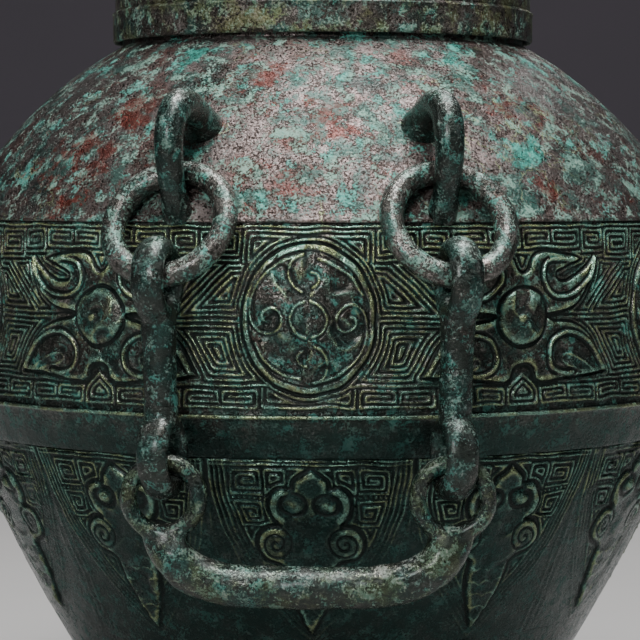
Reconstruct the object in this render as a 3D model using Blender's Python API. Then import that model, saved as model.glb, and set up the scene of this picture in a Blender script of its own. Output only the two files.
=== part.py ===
"""A bronze jar with a lift-off lid and two chained bail handles, at its real size.

The jar stands on its foot at the origin with +Z up, one handle facing -Y and its twin facing +Y.
Lengths are in metres and angles in degrees. An angle of 0 on the wall faces -Y, and +X is to its right.
"""

import math

import bmesh
import bpy
import numpy as np

# Jar: radii of its outside and heights above the ground
FOOT_RADIUS = 0.0870
FOOT_WIDTH = 0.0085
FOOT_RECESS = 0.0040
FOOT_HEIGHT = 0.0090
BASE_RADIUS = 0.0830
BELLY_RADIUS = 0.1668
BELLY_HEIGHT = 0.1710
LOWER_BULGE = 0.0070
BAND_HEIGHT = 0.0177
FRIEZE_HEIGHT = 0.0737
FRIEZE_TAPER = 0.0028
SHOULDER_HEIGHT = 0.0758
SHOULDER_BULGE = 0.0074
NECK_RADIUS = 0.0892
NECK_HEIGHT = 0.0270
WALL = 0.0035
GROUND_DEPTH = 0.0010

# Lid: it hangs around the neck and its seat rests on the neck's rim
NECK_CLEARANCE = 0.0012
SEAT_GAP = 0.0003
LID_WALL = 0.0030
SKIRT_DROP = 0.0259
SKIRT_BAND = 0.0135
SKIRT_STEP = 0.0010
LID_SIDE_RISE = 0.0045
LID_EDGE = 0.0060
LID_DOME = 0.0075
SEAT_WIDTH = 0.0070
KNOB_RADIUS = 0.0185
KNOB_STEM_RADIUS = 0.0100
KNOB_STEM_HEIGHT = 0.0075
KNOB_THICKNESS = 0.0085

# Relief on the wall
MOTIF_PAIRS = 6
ROUNDEL_WIDTH = 0.0522
ROUNDEL_HEIGHT = 0.0587
ROUNDEL_LIFT = 0.0030
BOSS_DIAMETER = 0.0220
BOSS_LIFT = 0.0042
CLAW_WIDTH = 0.0790
CLAW_HEIGHT = 0.0500
CLAW_THICKNESS = 0.0100
CLAW_LIFT = 0.0022
BLADE_LENGTH = 0.0960
BLADE_BORDER = 0.0070
BLADE_LIFT = 0.0012
BLADE_POINT = 1.7
FIGURE_WIDTH = 0.0300
FIGURE_LENGTH = 0.0560
RELIEF_SINK = 0.0012

# Handles: two loops cast on the shoulder, and on each a ring and a long link that carry the bail
HANDLE_ANGLE = 18.4
LOOP_TOP = 0.0370
LOOP_FOOT = 0.0030
LOOP_RISE = 0.0250
LOOP_DIAMETER = 0.0118
LOOP_SINK = 0.0020
RING_DIAMETER = 0.0555
RING_WIRE = 0.0095
LINK_LENGTH = 0.1005
LINK_WIDTH = 0.0130
LINK_EYE_DEPTH = 0.0270
LINK_EYE_HEIGHT = 0.0340
LINK_END = 0.0095
LINK_SIDE = 0.0070
LINK_SHANK = 0.0120
LINK_CLEARANCE = 0.0015
BAIL_SPACING = 0.1100
BAIL_DROP = 0.0346
BAIL_BAR = 0.0152
BAIL_NECK = 0.0136
BAIL_EYE = 0.0333
BAIL_EYE_WIRE = 0.0065
BAIL_SQUARENESS = 3.6
HANG_GAP = 0.0003
RING_RISE = 0.0005
EYE_RISE = 0.0014

# Facets: enough to read the form, few enough to stay light
WALL_SEGMENTS = 36
LID_SEGMENTS = 28


def arc(start, end, bulge, steps):
    """Points on the circular arc from start to end that stands out from its chord by bulge, to the right."""
    start, end = np.array(start), np.array(end)
    length = float(np.hypot(*(end - start)))
    along = (end - start) / length
    out = np.array([along[1], -along[0]])
    radius = (length**2 / 4 + bulge**2) / (2 * bulge)
    half = math.asin(length / (2 * radius))
    angle = np.linspace(-half, half, steps + 1)[:, None]
    return (start + end) / 2 + along * radius * np.sin(angle) + out * (radius * np.cos(angle) - radius + bulge)


FRIEZE_TOP = BELLY_HEIGHT + FRIEZE_HEIGHT
FRIEZE_TOP_RADIUS = BELLY_RADIUS - FRIEZE_TAPER
NECK_FOOT = FRIEZE_TOP + SHOULDER_HEIGHT
RIM = NECK_FOOT + NECK_HEIGHT
BAND_FOOT = BELLY_HEIGHT - BAND_HEIGHT


def wall_curve(lower_steps, shoulder_steps):
    """The outside of the wall as (radius, height) points from the foot to the neck, without its relief."""
    lower = arc((BASE_RADIUS, FOOT_HEIGHT), (BELLY_RADIUS, BELLY_HEIGHT), LOWER_BULGE, lower_steps)
    shoulder = arc((FRIEZE_TOP_RADIUS, FRIEZE_TOP), (NECK_RADIUS, NECK_FOOT), SHOULDER_BULGE, shoulder_steps)
    return lower, shoulder


FINE_WALL = np.vstack(wall_curve(200, 200))


def wall_at(height):
    """The wall's radius at a height, and its outward normal there as (radial, upward) parts."""
    radius, step = FINE_WALL[:, 0], 1e-4
    here = np.interp(height, FINE_WALL[:, 1], radius)
    above = np.interp(height + step, FINE_WALL[:, 1], radius)
    slope = (above - np.interp(height - step, FINE_WALL[:, 1], radius)) / (2 * step)
    length = np.sqrt(1 + slope**2)
    return here, 1 / length, -slope / length


def polar(angle, radius, height):
    """World points at an angle in degrees, a radius and a height."""
    turn = np.radians(angle)
    return np.stack(np.broadcast_arrays(radius * np.sin(turn), -radius * np.cos(turn), height), axis=-1)


def on_wall(angle, height, lift):
    """World points that stand out from the recessed ground of the relief by lift."""
    radius, normal_out, normal_up = wall_at(height)
    lift = lift - GROUND_DEPTH
    return polar(angle, radius + normal_out * lift, height + normal_up * lift)


def mesh_of(vertices, faces):
    """A closed mesh with its doubles merged and its faces pointing out."""
    mesh = bpy.data.meshes.new("piece")
    mesh.from_pydata([tuple(map(float, vertex)) for vertex in vertices], [], faces)
    form = bmesh.new()
    form.from_mesh(mesh)
    bmesh.ops.remove_doubles(form, verts=form.verts, dist=1e-6)
    bmesh.ops.recalc_face_normals(form, faces=form.faces)
    form.to_mesh(mesh)
    form.free()
    return mesh


def loft(rows, closed_rows, closed_columns):
    """Quads between the rows of a grid of points, which may join up along either direction."""
    count, across = len(rows), len(rows[0])
    faces = []
    for row in range(count if closed_rows else count - 1):
        below = (row + 1) % count
        for column in range(across if closed_columns else across - 1):
            beside = (column + 1) % across
            faces.append((row * across + column, row * across + beside, below * across + beside, below * across + column))
    return np.concatenate(rows), faces


def swept(centres, thick, wide, sides, closed=False, turned_by=0.0):
    """A bar along centres, with an elliptical section spanned by the half vectors thick and wide at each of them."""
    angle = np.linspace(0, 2 * np.pi, sides, endpoint=False) + turned_by
    rows = [
        centre + np.cos(angle)[:, None] * half_thick + np.sin(angle)[:, None] * half_wide
        for centre, half_thick, half_wide in zip(centres, thick, wide)
    ]
    vertices, faces = loft(rows, closed, True)
    if not closed:
        faces += [tuple(range(sides)), tuple(range(len(vertices) - sides, len(vertices)))]
    return mesh_of(vertices, faces)


def turned(profile, segments):
    """A solid turned about +Z from a profile of (radius, height) points that starts and ends on the axis."""
    angle = (np.arange(segments) + 0.5) * 360 / segments
    rows = [polar(angle, radius, height) for radius, height in profile[1:-1]]
    vertices, faces = loft(rows, False, True)
    ends = [(0, 0, profile[0][1]), (0, 0, profile[-1][1])]
    last = len(vertices) - segments
    for side in range(segments):
        beside = (side + 1) % segments
        faces.append((len(vertices), side, beside))
        faces.append((len(vertices) + 1, last + beside, last + side))
    return mesh_of(np.vstack([vertices, ends]), faces)


def patch(angle, height, half_width, half_height, rings, sides):
    """A round raised patch. Each ring is a share of its radius and a lift, from the sunk rim to the middle."""
    radius = wall_at(height)[0]
    turn = np.linspace(0, 2 * np.pi, sides, endpoint=False)
    rows = []
    for share, lift in rings[:-1]:
        across = share * half_width * np.cos(turn)
        rows.append(on_wall(angle + np.degrees(across / radius), height + share * half_height * np.sin(turn), lift))
    vertices, faces = loft(rows, False, True)
    last = len(vertices) - sides
    middles = [on_wall(angle, height, rings[0][1]), on_wall(angle, height, rings[-1][1])]
    for side in range(sides):
        beside = (side + 1) % sides
        faces.append((len(vertices), side, beside))
        faces.append((len(vertices) + 1, last + beside, last + side))
    return mesh_of(np.vstack([vertices, middles]), faces)


def rib(angles, heights, half_widths, lift):
    """A raised rib with a crest, along a line on the wall given by angles and heights."""
    radius = wall_at(np.array(heights))[0]
    across = np.gradient(np.radians(angles) * radius)
    upward = np.gradient(np.array(heights))
    length = np.hypot(across, upward)
    side_turn = np.degrees(-upward / length * half_widths / radius)
    side_rise = across / length * half_widths
    left = on_wall(angles + side_turn, heights + side_rise, -RELIEF_SINK)
    crest = on_wall(angles, heights, lift)
    right = on_wall(angles - side_turn, heights - side_rise, -RELIEF_SINK)
    rows = [np.array(row) for row in zip(left, crest, right)]
    vertices, faces = loft(rows, False, True)
    faces += [(0, 1, 2), (len(vertices) - 3, len(vertices) - 2, len(vertices) - 1)]
    return mesh_of(vertices, faces)


def fused(meshes, solver="EXACT"):
    """The Boolean union of these meshes, each added to the first in turn."""
    base = bpy.data.objects.new("base", meshes[0])
    bpy.context.scene.collection.objects.link(base)
    extras = []
    for mesh in meshes[1:]:
        extra = bpy.data.objects.new("extra", mesh)
        bpy.context.scene.collection.objects.link(extra)
        union = base.modifiers.new("union", "BOOLEAN")
        union.operation, union.solver, union.object = "UNION", solver, extra
        extras.append(extra)
    graph = bpy.context.evaluated_depsgraph_get()
    whole = bpy.data.meshes.new_from_object(base.evaluated_get(graph))
    for piece in [base, *extras]:
        bpy.data.objects.remove(piece)
    return whole


def bronze(name, colour, roughness, metallic):
    """A bronze finish of its own."""
    material = bpy.data.materials.new(name)
    material.use_nodes = True
    shader = material.node_tree.nodes["Principled BSDF"]
    shader.inputs["Base Color"].default_value = (*colour, 1)
    shader.inputs["Roughness"].default_value = roughness
    shader.inputs["Metallic"].default_value = metallic
    return material


def place(name, mesh, material):
    """Put a finished mesh in the scene as a named piece with smooth round sides and sharp edges."""
    mesh.materials.clear()
    mesh.materials.append(material)
    mesh.shade_smooth()
    mesh.set_sharp_from_angle(angle=math.radians(32))
    piece = bpy.data.objects.new(name, mesh)
    bpy.context.scene.collection.objects.link(piece)
    return piece


def jar_profile():
    """The jar's outside and inside, from the middle of its underside round to the middle of its floor."""
    lower, shoulder = wall_curve(7, 4)
    ground = lower[lower[:, 1] < BAND_FOOT - 0.002]
    ground = np.vstack([ground, [wall_at(BAND_FOOT)[0], BAND_FOOT]])
    _, out, up = wall_at(ground[1:, 1])
    ground[1:] -= np.stack([out, up], axis=1) * GROUND_DEPTH
    ground[-1, 1] = BAND_FOOT
    frieze = [(BELLY_RADIUS - GROUND_DEPTH, BELLY_HEIGHT), (FRIEZE_TOP_RADIUS - GROUND_DEPTH, FRIEZE_TOP)]
    outside = [(0, FOOT_RECESS), (FOOT_RADIUS - FOOT_WIDTH, FOOT_RECESS), (FOOT_RADIUS - FOOT_WIDTH, 0)]
    outside += [(FOOT_RADIUS, 0), (FOOT_RADIUS, FOOT_HEIGHT * 0.7)]
    outside += [*ground, (wall_at(BAND_FOOT)[0], BAND_FOOT), (BELLY_RADIUS, BELLY_HEIGHT), *frieze]
    outside += [*shoulder, (NECK_RADIUS, RIM), (NECK_RADIUS - WALL, RIM)]
    lower, shoulder = wall_curve(4, 3)
    inner = []
    for curve in (shoulder[::-1], lower[::-1]):
        _, out, up = wall_at(curve[:, 1])
        inner += list(curve - np.stack([out, up], axis=1) * WALL)
    return outside + inner + [(0, inner[-1][1])]


def roundel(angle):
    """A low domed disc with a stepped rim, the round motif of the frieze."""
    rings = [(1, -RELIEF_SINK), (0.97, ROUNDEL_LIFT / 3), (0.85, ROUNDEL_LIFT / 3), (0.76, ROUNDEL_LIFT * 0.65), (0, ROUNDEL_LIFT)]
    return [patch(angle, BELLY_HEIGHT + FRIEZE_HEIGHT / 2, ROUNDEL_WIDTH / 2, ROUNDEL_HEIGHT / 2, rings, 14)]


def claws(angle):
    """The four-petal motif: a round boss with a claw that curls towards each corner of its field."""
    height = BELLY_HEIGHT + FRIEZE_HEIGHT / 2
    rings = [(1, -RELIEF_SINK), (0.85, BOSS_LIFT * 0.6), (0, BOSS_LIFT)]
    pieces = [patch(angle, height, BOSS_DIAMETER / 2, BOSS_DIAMETER / 2, rings, 8)]
    across = np.array([0.97, 0.82, 0.58, 0.36, 0.34, 0.50]) * CLAW_WIDTH / 2
    rise = np.array([0.94, 0.54, 0.40, 0.52, 0.80, 0.88]) * CLAW_HEIGHT / 2
    half_widths = np.array([0.12, 0.80, 1.0, 0.95, 0.70, 0.3]) * CLAW_THICKNESS / 2
    turn = np.degrees(across / wall_at(height)[0])
    for side in (-1, 1):
        for end in (-1, 1):
            pieces.append(rib(angle + side * turn, height + end * rise, half_widths, CLAW_LIFT))
    return pieces


def blade(angle, pitch):
    """A hanging blade on the lower wall: a border that runs down to a point and up again, round a tapering figure."""
    share = np.sin(np.linspace(-np.pi / 2, np.pi / 2, 7))
    top = BAND_FOOT - 0.003
    heights = top - (BLADE_LENGTH - 0.003) * (1 - np.abs(share) ** BLADE_POINT)
    inset = np.degrees(BLADE_BORDER * 0.6 / wall_at(top)[0])
    pieces = [rib(angle + share * (pitch / 2 - inset), heights, np.full(7, BLADE_BORDER / 2), BLADE_LIFT)]
    rings = [(1, -RELIEF_SINK), (0.75, BLADE_LIFT), (0, BLADE_LIFT * 1.6)]
    middle = BAND_FOOT - BLADE_LENGTH * 0.42
    pieces.append(patch(angle, middle, FIGURE_WIDTH / 2, FIGURE_LENGTH / 2, rings, 8))
    return pieces


def loop_path(steps):
    """The centre line of a shoulder loop in its upright plane, as (radius, height) points."""
    feet = []
    for height in (FRIEZE_TOP + LOOP_TOP, FRIEZE_TOP + LOOP_FOOT):
        radius, _, _ = wall_at(height)
        feet.append(np.array([radius, height]))
    chord = feet[1] - feet[0]
    out = np.array([-chord[1], chord[0]]) / np.hypot(*chord)
    controls = [(0, -LOOP_SINK), (-0.08, LOOP_RISE * 1.28), (0.6, LOOP_RISE * 1.52), (1, -LOOP_SINK)]
    points = [feet[0] + chord * share + out * rise for share, rise in controls]
    t = np.linspace(0, 1, steps)[:, None]
    weights = [(1 - t) ** 3, 3 * (1 - t) ** 2 * t, 3 * (1 - t) * t**2, t**3]
    return sum(weight * point for weight, point in zip(weights, points))


def loop_half(share):
    """Half the loop's thickness at a share of the way down it."""
    return LOOP_DIAMETER / 2 * (1.08 - 0.38 * share**3)


def loop(angle):
    """A stout arched loop in an upright plane through the axis, thinner towards its lower foot."""
    path = loop_path(9)
    along = np.gradient(path, axis=0)
    along /= np.hypot(along[:, 0], along[:, 1])[:, None]
    share = np.linspace(0, 1, len(path))
    half = loop_half(share)
    centres = polar(angle, path[:, 0], path[:, 1])
    thick = (polar(angle, along[:, 1], np.zeros(len(path))) - along[:, :1] * np.array([0, 0, 1])) * half[:, None]
    wide = polar(angle + 90, half, np.zeros(len(path)))
    return swept(centres, thick, wide, 6)


def ring_hang():
    """Where a ring's wire lies in the crotch of its loop, how far the ring leans out, and the radius it reaches.

    The ring clears the top edge of the frieze, and the link that hangs from it clears the wall's widest part.
    """
    path = loop_path(200)
    heights = np.linspace(FRIEZE_TOP + LOOP_FOOT, FRIEZE_TOP + LOOP_TOP, 400)
    radius, out, up = wall_at(heights)
    rest = RING_WIRE / 2 + HANG_GAP
    places = np.stack([radius + out * rest, heights + up * rest], axis=1)
    spare = np.linalg.norm(places[:, None] - path, axis=2) - loop_half(np.linspace(0, 1, len(path)))
    top = places[np.argmax(spare[:, 20:-4].min(axis=1) > rest)]
    span = RING_DIAMETER - RING_WIRE
    lean_for_link = math.asin((BELLY_RADIUS + LINK_CLEARANCE + LINK_EYE_DEPTH / 2 - top[0]) / span)
    edge = np.array([FRIEZE_TOP_RADIUS, FRIEZE_TOP]) - top
    lean_for_ring = math.atan2(edge[0], -edge[1]) + math.asin(rest / math.hypot(*edge))
    lean = max(lean_for_link, lean_for_ring)
    return top, lean, top[0] + span * math.sin(lean)


def eye(centre, side, upright, across, outer, inner, width, segments, sides):
    """A ring in the plane of side and upright, between an outer and an inner ellipse, width thick across it."""
    angle = np.linspace(0, 2 * np.pi, segments, endpoint=False)[:, None]
    rims = [np.cos(angle) * side * half[0] + np.sin(angle) * upright * half[1] for half in (outer, inner)]
    centres = centre + (rims[0] + rims[1]) / 2
    wide = np.tile(across * width / 2, (segments, 1))
    return swept(centres, (rims[0] - rims[1]) / 2, wide, sides, closed=True, turned_by=math.pi / sides)


def chain_ring(angle):
    """A plain ring that hangs from its loop and leans out from the shoulder."""
    top, lean, _ = ring_hang()
    half = (RING_DIAMETER - RING_WIRE) / 2
    centre = polar(angle, top[0] + half * math.sin(lean), top[1] - half * math.cos(lean))
    upright = polar(angle, -math.sin(lean), math.cos(lean))
    across = polar(angle, math.cos(lean), math.sin(lean))
    outer = (RING_DIAMETER / 2, RING_DIAMETER / 2)
    inner = (RING_DIAMETER / 2 - RING_WIRE, RING_DIAMETER / 2 - RING_WIRE)
    return eye(centre, polar(angle + 90, 1, 0), upright, across, outer, inner, RING_WIRE, 16, 6)


def link_frame(angle, side, facing):
    """The top point of a long link and its long, deep and wide directions. It hangs from the ring to the bail."""
    top, lean, reach = ring_hang()
    low = top[1] - (RING_DIAMETER - RING_WIRE) * math.cos(lean)
    start = polar(angle, reach, low + RING_WIRE / 2 + HANG_GAP + RING_RISE + LINK_END)
    end = np.array([facing * side * BAIL_SPACING / 2, start[1], start[2] - LINK_LENGTH])
    down = (end - start) / np.linalg.norm(end - start)
    wide = np.cross(down, polar(angle, 1, 0))
    wide /= np.linalg.norm(wide)
    return start, down, np.cross(wide, down), wide


def link(angle, side, facing):
    """A long link with an eye at each end and a stout shank between them."""
    start, down, deep, wide = link_frame(angle, side, facing)
    outer = (LINK_EYE_DEPTH / 2, LINK_EYE_HEIGHT / 2)
    inner = (LINK_EYE_DEPTH / 2 - LINK_SIDE, LINK_EYE_HEIGHT / 2 - LINK_END)
    places = [start + down * LINK_EYE_HEIGHT / 2, start + down * (LINK_LENGTH - LINK_EYE_HEIGHT / 2)]
    eyes = [eye(place, deep, -down, wide, outer, inner, LINK_WIDTH, 10, 6) for place in places]
    reach = LINK_EYE_HEIGHT - LINK_END * 0.6
    ends = np.array([start + down * reach, start + down * (LINK_LENGTH / 2), start + down * (LINK_LENGTH - reach)])
    half = np.array([1.1, 0.96, 1.1])[:, None] * LINK_SHANK / 2
    shank = swept(ends, deep * half, wide * half, 8, turned_by=math.pi / 8)
    return fused([shank, *eyes])


def bail_height():
    """The height of the bail's eye centres, where they rest in the lower eyes of the links."""
    top, lean, _ = ring_hang()
    low = top[1] - (RING_DIAMETER - RING_WIRE) * math.cos(lean)
    link_floor = low + RING_WIRE / 2 + HANG_GAP + RING_RISE + LINK_END - LINK_LENGTH + LINK_END
    return link_floor + HANG_GAP + EYE_RISE + BAIL_EYE_WIRE - BAIL_EYE / 2


def bail(facing):
    """The carrying handle: a bar bent to a shallow square-cornered U, with an eye at each end."""
    _, _, reach = ring_hang()
    depth = -facing * reach * math.cos(math.radians(HANDLE_ANGLE))
    height = bail_height()
    side, upright, across = np.array([1.0, 0, 0]), np.array([0, 0, 1.0]), np.array([0, 1.0, 0])
    outer = (BAIL_EYE / 2, BAIL_EYE / 2)
    inner = (BAIL_EYE / 2 - BAIL_EYE_WIRE, BAIL_EYE / 2 - BAIL_EYE_WIRE)
    eyes = [
        eye(np.array([end * BAIL_SPACING / 2, depth, height]), side, upright, across, outer, inner, BAIL_EYE_WIRE * 1.08, 10, 6)
        for end in (-1, 1)
    ]
    start = math.asin((BAIL_EYE / 2 / BAIL_DROP) ** (BAIL_SQUARENESS / 2))
    t = np.linspace(start, math.pi - start, 13)
    power = 2 / BAIL_SQUARENESS
    x = -np.sign(np.cos(t)) * np.abs(np.cos(t)) ** power * BAIL_SPACING / 2
    z = height - np.abs(np.sin(t)) ** power * BAIL_DROP
    path = np.stack([x, np.full(len(t), depth), z], axis=1)
    along = np.gradient(path, axis=0)
    along /= np.linalg.norm(along, axis=1)[:, None]
    middle = np.sin(t)[:, None] ** 0.7
    half = (BAIL_NECK + (BAIL_BAR - BAIL_NECK) * middle) / 2
    bar = swept(path, np.cross(along, across) * half, across * half, 8, turned_by=math.pi / 8)
    return fused([bar, *eyes])


def lid_profile():
    """The lid's outside and inside, from the top of its knob round to the middle of its ceiling."""
    inner = NECK_RADIUS + NECK_CLEARANCE
    outer = inner + LID_WALL
    seat = RIM + SEAT_GAP
    foot = seat - SKIRT_DROP
    side_top = seat + LID_SIDE_RISE
    crown = side_top + LID_EDGE
    stem = crown + LID_DOME
    edge = outer - SKIRT_STEP
    dome = arc((edge - LID_EDGE, crown), (KNOB_STEM_RADIUS, stem), LID_DOME * 0.35, 3)
    disc = stem + KNOB_STEM_HEIGHT
    knob = [(0, disc + KNOB_THICKNESS), (KNOB_RADIUS * 0.55, disc + KNOB_THICKNESS * 0.93)]
    knob += [(KNOB_RADIUS * 0.92, disc + KNOB_THICKNESS * 0.62), (KNOB_RADIUS, disc + KNOB_THICKNESS * 0.3)]
    knob += [(KNOB_RADIUS * 0.88, disc), (KNOB_STEM_RADIUS * 0.85, stem + KNOB_STEM_HEIGHT * 0.6)]
    outside = [*dome[::-1], (edge - LID_EDGE * 0.3, crown - LID_EDGE * 0.3), (edge, side_top)]
    outside += [(edge, foot + SKIRT_BAND), (outer, foot + SKIRT_BAND - SKIRT_STEP), (outer, foot)]
    ceiling = arc((inner - SEAT_WIDTH, side_top), (0, stem - LID_WALL), LID_DOME * 0.25, 2)
    return knob + outside + [(inner, foot), (inner, seat), (inner - SEAT_WIDTH, seat), *ceiling]


def build():
    """Make every piece."""
    for piece in list(bpy.data.objects):
        bpy.data.objects.remove(piece)

    pitch = 360 / MOTIF_PAIRS
    relief = []
    for pair in range(MOTIF_PAIRS):
        relief += roundel(pair * pitch) + claws((pair + 0.5) * pitch)
        relief += blade(pair * pitch, pitch / 2) + blade((pair + 0.5) * pitch, pitch / 2)
    for facing_angle in (0, 180):
        relief += [loop(facing_angle + side * HANDLE_ANGLE) for side in (-1, 1)]
    jar = fused([turned(jar_profile(), WALL_SEGMENTS), *relief], solver="MANIFOLD")
    place("jar", jar, bronze("jar_bronze", (0.095, 0.150, 0.125), 0.55, 0.55))
    place("lid", turned(lid_profile(), LID_SEGMENTS), bronze("lid_bronze", (0.110, 0.135, 0.095), 0.55, 0.55))

    for end, facing in (("front", 1), ("back", -1)):
        for side_name, side in (("left", -1), ("right", 1)):
            angle = side * HANDLE_ANGLE + (0 if facing == 1 else 180)
            ring_finish = bronze(f"{end}_{side_name}_ring_bronze", (0.230, 0.225, 0.215), 0.45, 0.70)
            link_finish = bronze(f"{end}_{side_name}_link_bronze", (0.160, 0.190, 0.170), 0.48, 0.65)
            place(f"{end}_{side_name}_ring", chain_ring(angle), ring_finish)
            place(f"{end}_{side_name}_link", link(angle, side, facing), link_finish)
        place(f"{end}_bail", bail(facing), bronze(f"{end}_bail_bronze", (0.150, 0.205, 0.150), 0.45, 0.65))


build()
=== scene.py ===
"""The looks of a bronze lidded jar: worn castings with fine squared-spiral relief, a chained handle and patina.

Every new piece is a surface worked out with numpy in the frame of the packed solids, in metres.
Patterns on the wall are laid out in millimetres, across and up from the middle of each motif.
"""

import math
from functools import cache, partial, reduce
from statistics import NormalDist

import bpy
import numpy as np
from mathutils import Euler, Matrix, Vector


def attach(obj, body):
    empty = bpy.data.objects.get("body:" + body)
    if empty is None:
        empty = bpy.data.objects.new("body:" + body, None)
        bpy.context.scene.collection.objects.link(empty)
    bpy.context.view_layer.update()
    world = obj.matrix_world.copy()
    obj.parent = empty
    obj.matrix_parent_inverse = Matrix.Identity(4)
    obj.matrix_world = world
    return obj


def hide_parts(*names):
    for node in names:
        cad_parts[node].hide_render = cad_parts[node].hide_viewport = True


bl_info = {
    "name": "Bronze lidded jar",
    "version": (1, 0, 0),
    "blender": (4, 5, 0),
    "location": "View3D > Sidebar > Jar",
    "description": "Casts the relief, chain, lid and patina of a bronze jar round its packed solids",
    "category": "Add Mesh",
}

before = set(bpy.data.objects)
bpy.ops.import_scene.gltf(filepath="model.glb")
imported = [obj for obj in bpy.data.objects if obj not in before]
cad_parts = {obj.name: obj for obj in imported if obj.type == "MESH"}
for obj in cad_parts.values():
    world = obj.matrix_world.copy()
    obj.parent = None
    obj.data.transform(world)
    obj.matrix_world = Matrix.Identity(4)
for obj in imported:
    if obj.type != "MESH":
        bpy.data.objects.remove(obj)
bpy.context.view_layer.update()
MM = 0.001
BODY = "root"
ENDS = (("front", 1), ("back", -1))
SIDES = (("left", -1), ("right", 1))


def length(description, default):
    """A length in metres."""
    return bpy.props.FloatProperty(description=description, default=default, unit="LENGTH", precision=4)


def colour(description, default):
    """A linear colour."""
    return bpy.props.FloatVectorProperty(
        description=description, default=default, subtype="COLOR", size=3, min=0, max=1
    )


def number(description, default):
    """A plain number."""
    return bpy.props.FloatProperty(description=description, default=default, precision=4)


def named(group):
    """Name each property of a group after its field, in words."""
    for field, made in group.__annotations__.items():
        made.keywords["name"] = field.replace("_", " ").capitalize()
    return group


@named
class WallSizes(bpy.types.PropertyGroup):
    """The jar's outside, as its solid has it."""

    foot_radius: length("Outer radius of the ring foot", 0.0870)
    foot_width: length("Width of the ring foot's underside", 0.0085)
    foot_recess: length("How far the underside is hollowed inside the foot", 0.0040)
    foot_height: length("Height where the wall starts", 0.0090)
    base_radius: length("Radius of the wall at the foot", 0.0830)
    belly_radius: length("Widest radius of the wall", 0.1668)
    belly_height: length("Height of the widest place", 0.1710)
    lower_bulge: length("How far the lower wall bulges from a cone", 0.0070)
    band_height: length("Height of the plain band", 0.0177)
    frieze_height: length("Height of the frieze above the belly", 0.0737)
    frieze_taper: length("How much narrower the frieze is at its top", 0.0028)
    shoulder_height: length("Rise of the shoulder to the neck", 0.0758)
    shoulder_bulge: length("How far the shoulder bulges from a cone", 0.0074)
    neck_radius: length("Outer radius of the neck", 0.0892)
    neck_height: length("Height of the neck under the lid", 0.0270)
    thickness: length("Thickness of the cast wall", 0.0035)
    ground_depth: length("How deep the relief's ground lies", 0.0010)


@named
class ReliefSizes(bpy.types.PropertyGroup):
    """The relief on the wall."""

    fine_step: length("Spacing of the points on the front frieze", 0.00034)
    side_step: length("Spacing of the points on the side friezes", 0.00060)
    back_step: length("Spacing of the points on the back frieze", 0.00080)
    line_pitch: length("Spacing of the squared spirals' lines", 0.00205)
    line_height: length("Height of the squared spirals' lines", 0.00085)
    plate_lift: length("Height of the four-petal plates", 0.0019)
    boss_lift: length("Height of the plates' bosses", 0.0042)
    roundel_width: length("Width of the round motif", 0.0522)
    roundel_height: length("Height of the round motif", 0.0587)
    roundel_lift: length("Height of the round motif's dome", 0.0046)
    blade_length: length("Height of the hanging blades", 0.0800)
    blade_border: length("Width of the lines along a blade", 0.0078)


@named
class ChainSizes(bpy.types.PropertyGroup):
    """The loops, rings, links and bails, as their solids have them."""

    handle_angle: number("Degrees of each loop from the middle of its side", 18.4)
    loop_top: length("Upper foot of a loop above the frieze", 0.0370)
    loop_foot: length("Lower foot of a loop above the frieze", 0.0030)
    loop_rise: length("How far a loop stands out", 0.0250)
    loop_diameter: length("Thickness of a loop", 0.0118)
    loop_sink: length("How deep a loop's ends lie in the wall", 0.0020)
    ring_diameter: length("Outer diameter of a ring", 0.0555)
    ring_wire: length("Thickness of a ring", 0.0095)
    link_length: length("Length of a long link", 0.1005)
    link_width: length("Width of a long link", 0.0130)
    eye_depth: length("Depth of a link's eye", 0.0270)
    eye_height: length("Height of a link's eye", 0.0340)
    link_end: length("Thickness of a link over its eye", 0.0095)
    link_side: length("Thickness of a link beside its eye", 0.0070)
    link_shank: length("Thickness of a link's shank", 0.0120)
    link_clearance: length("Gap between a link and the belly", 0.0015)
    bail_spacing: length("Distance between a bail's eyes", 0.1100)
    bail_drop: length("Depth of a bail below its eyes", 0.0346)
    bail_bar: length("Thickness of a bail's bar", 0.0152)
    bail_neck: length("Thickness of a bail beside its eyes", 0.0136)
    bail_eye: length("Outer diameter of a bail's eyes", 0.0333)
    bail_eye_wire: length("Thickness of a bail's eyes", 0.0065)
    bail_squareness: number("Exponent of the bail's squared curve", 3.6)
    hang_gap: length("Gap between pieces that hang in each other", 0.0003)
    ring_rise: length("Extra height of a link over its ring", 0.0005)
    eye_rise: length("Extra height of a bail's eye over its link", 0.0014)
    voxel: length("Spacing of the points on links and bails", 0.0010)


@named
class LidSizes(bpy.types.PropertyGroup):
    """The lid, as its solid has it."""

    clearance: length("Gap between the lid and the neck", 0.0012)
    seat_gap: length("Gap between the lid's seat and the rim", 0.0003)
    thickness: length("Thickness of the lid", 0.0030)
    skirt_drop: length("How far the skirt hangs round the neck", 0.0259)
    skirt_band: length("Height of the skirt's plain lower band", 0.0135)
    skirt_step: length("How far the lower band stands proud", 0.0010)
    side_rise: length("Rise of the side above the seat", 0.0045)
    edge: length("Size of the rounded edge", 0.0060)
    dome: length("Rise of the dome", 0.0075)
    seat_width: length("Width of the seat", 0.0070)
    knob_radius: length("Radius of the knob", 0.0185)
    stem_radius: length("Radius of the knob's stem", 0.0100)
    stem_height: length("Height of the knob's stem", 0.0075)
    knob_thickness: length("Thickness of the knob", 0.0085)


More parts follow.
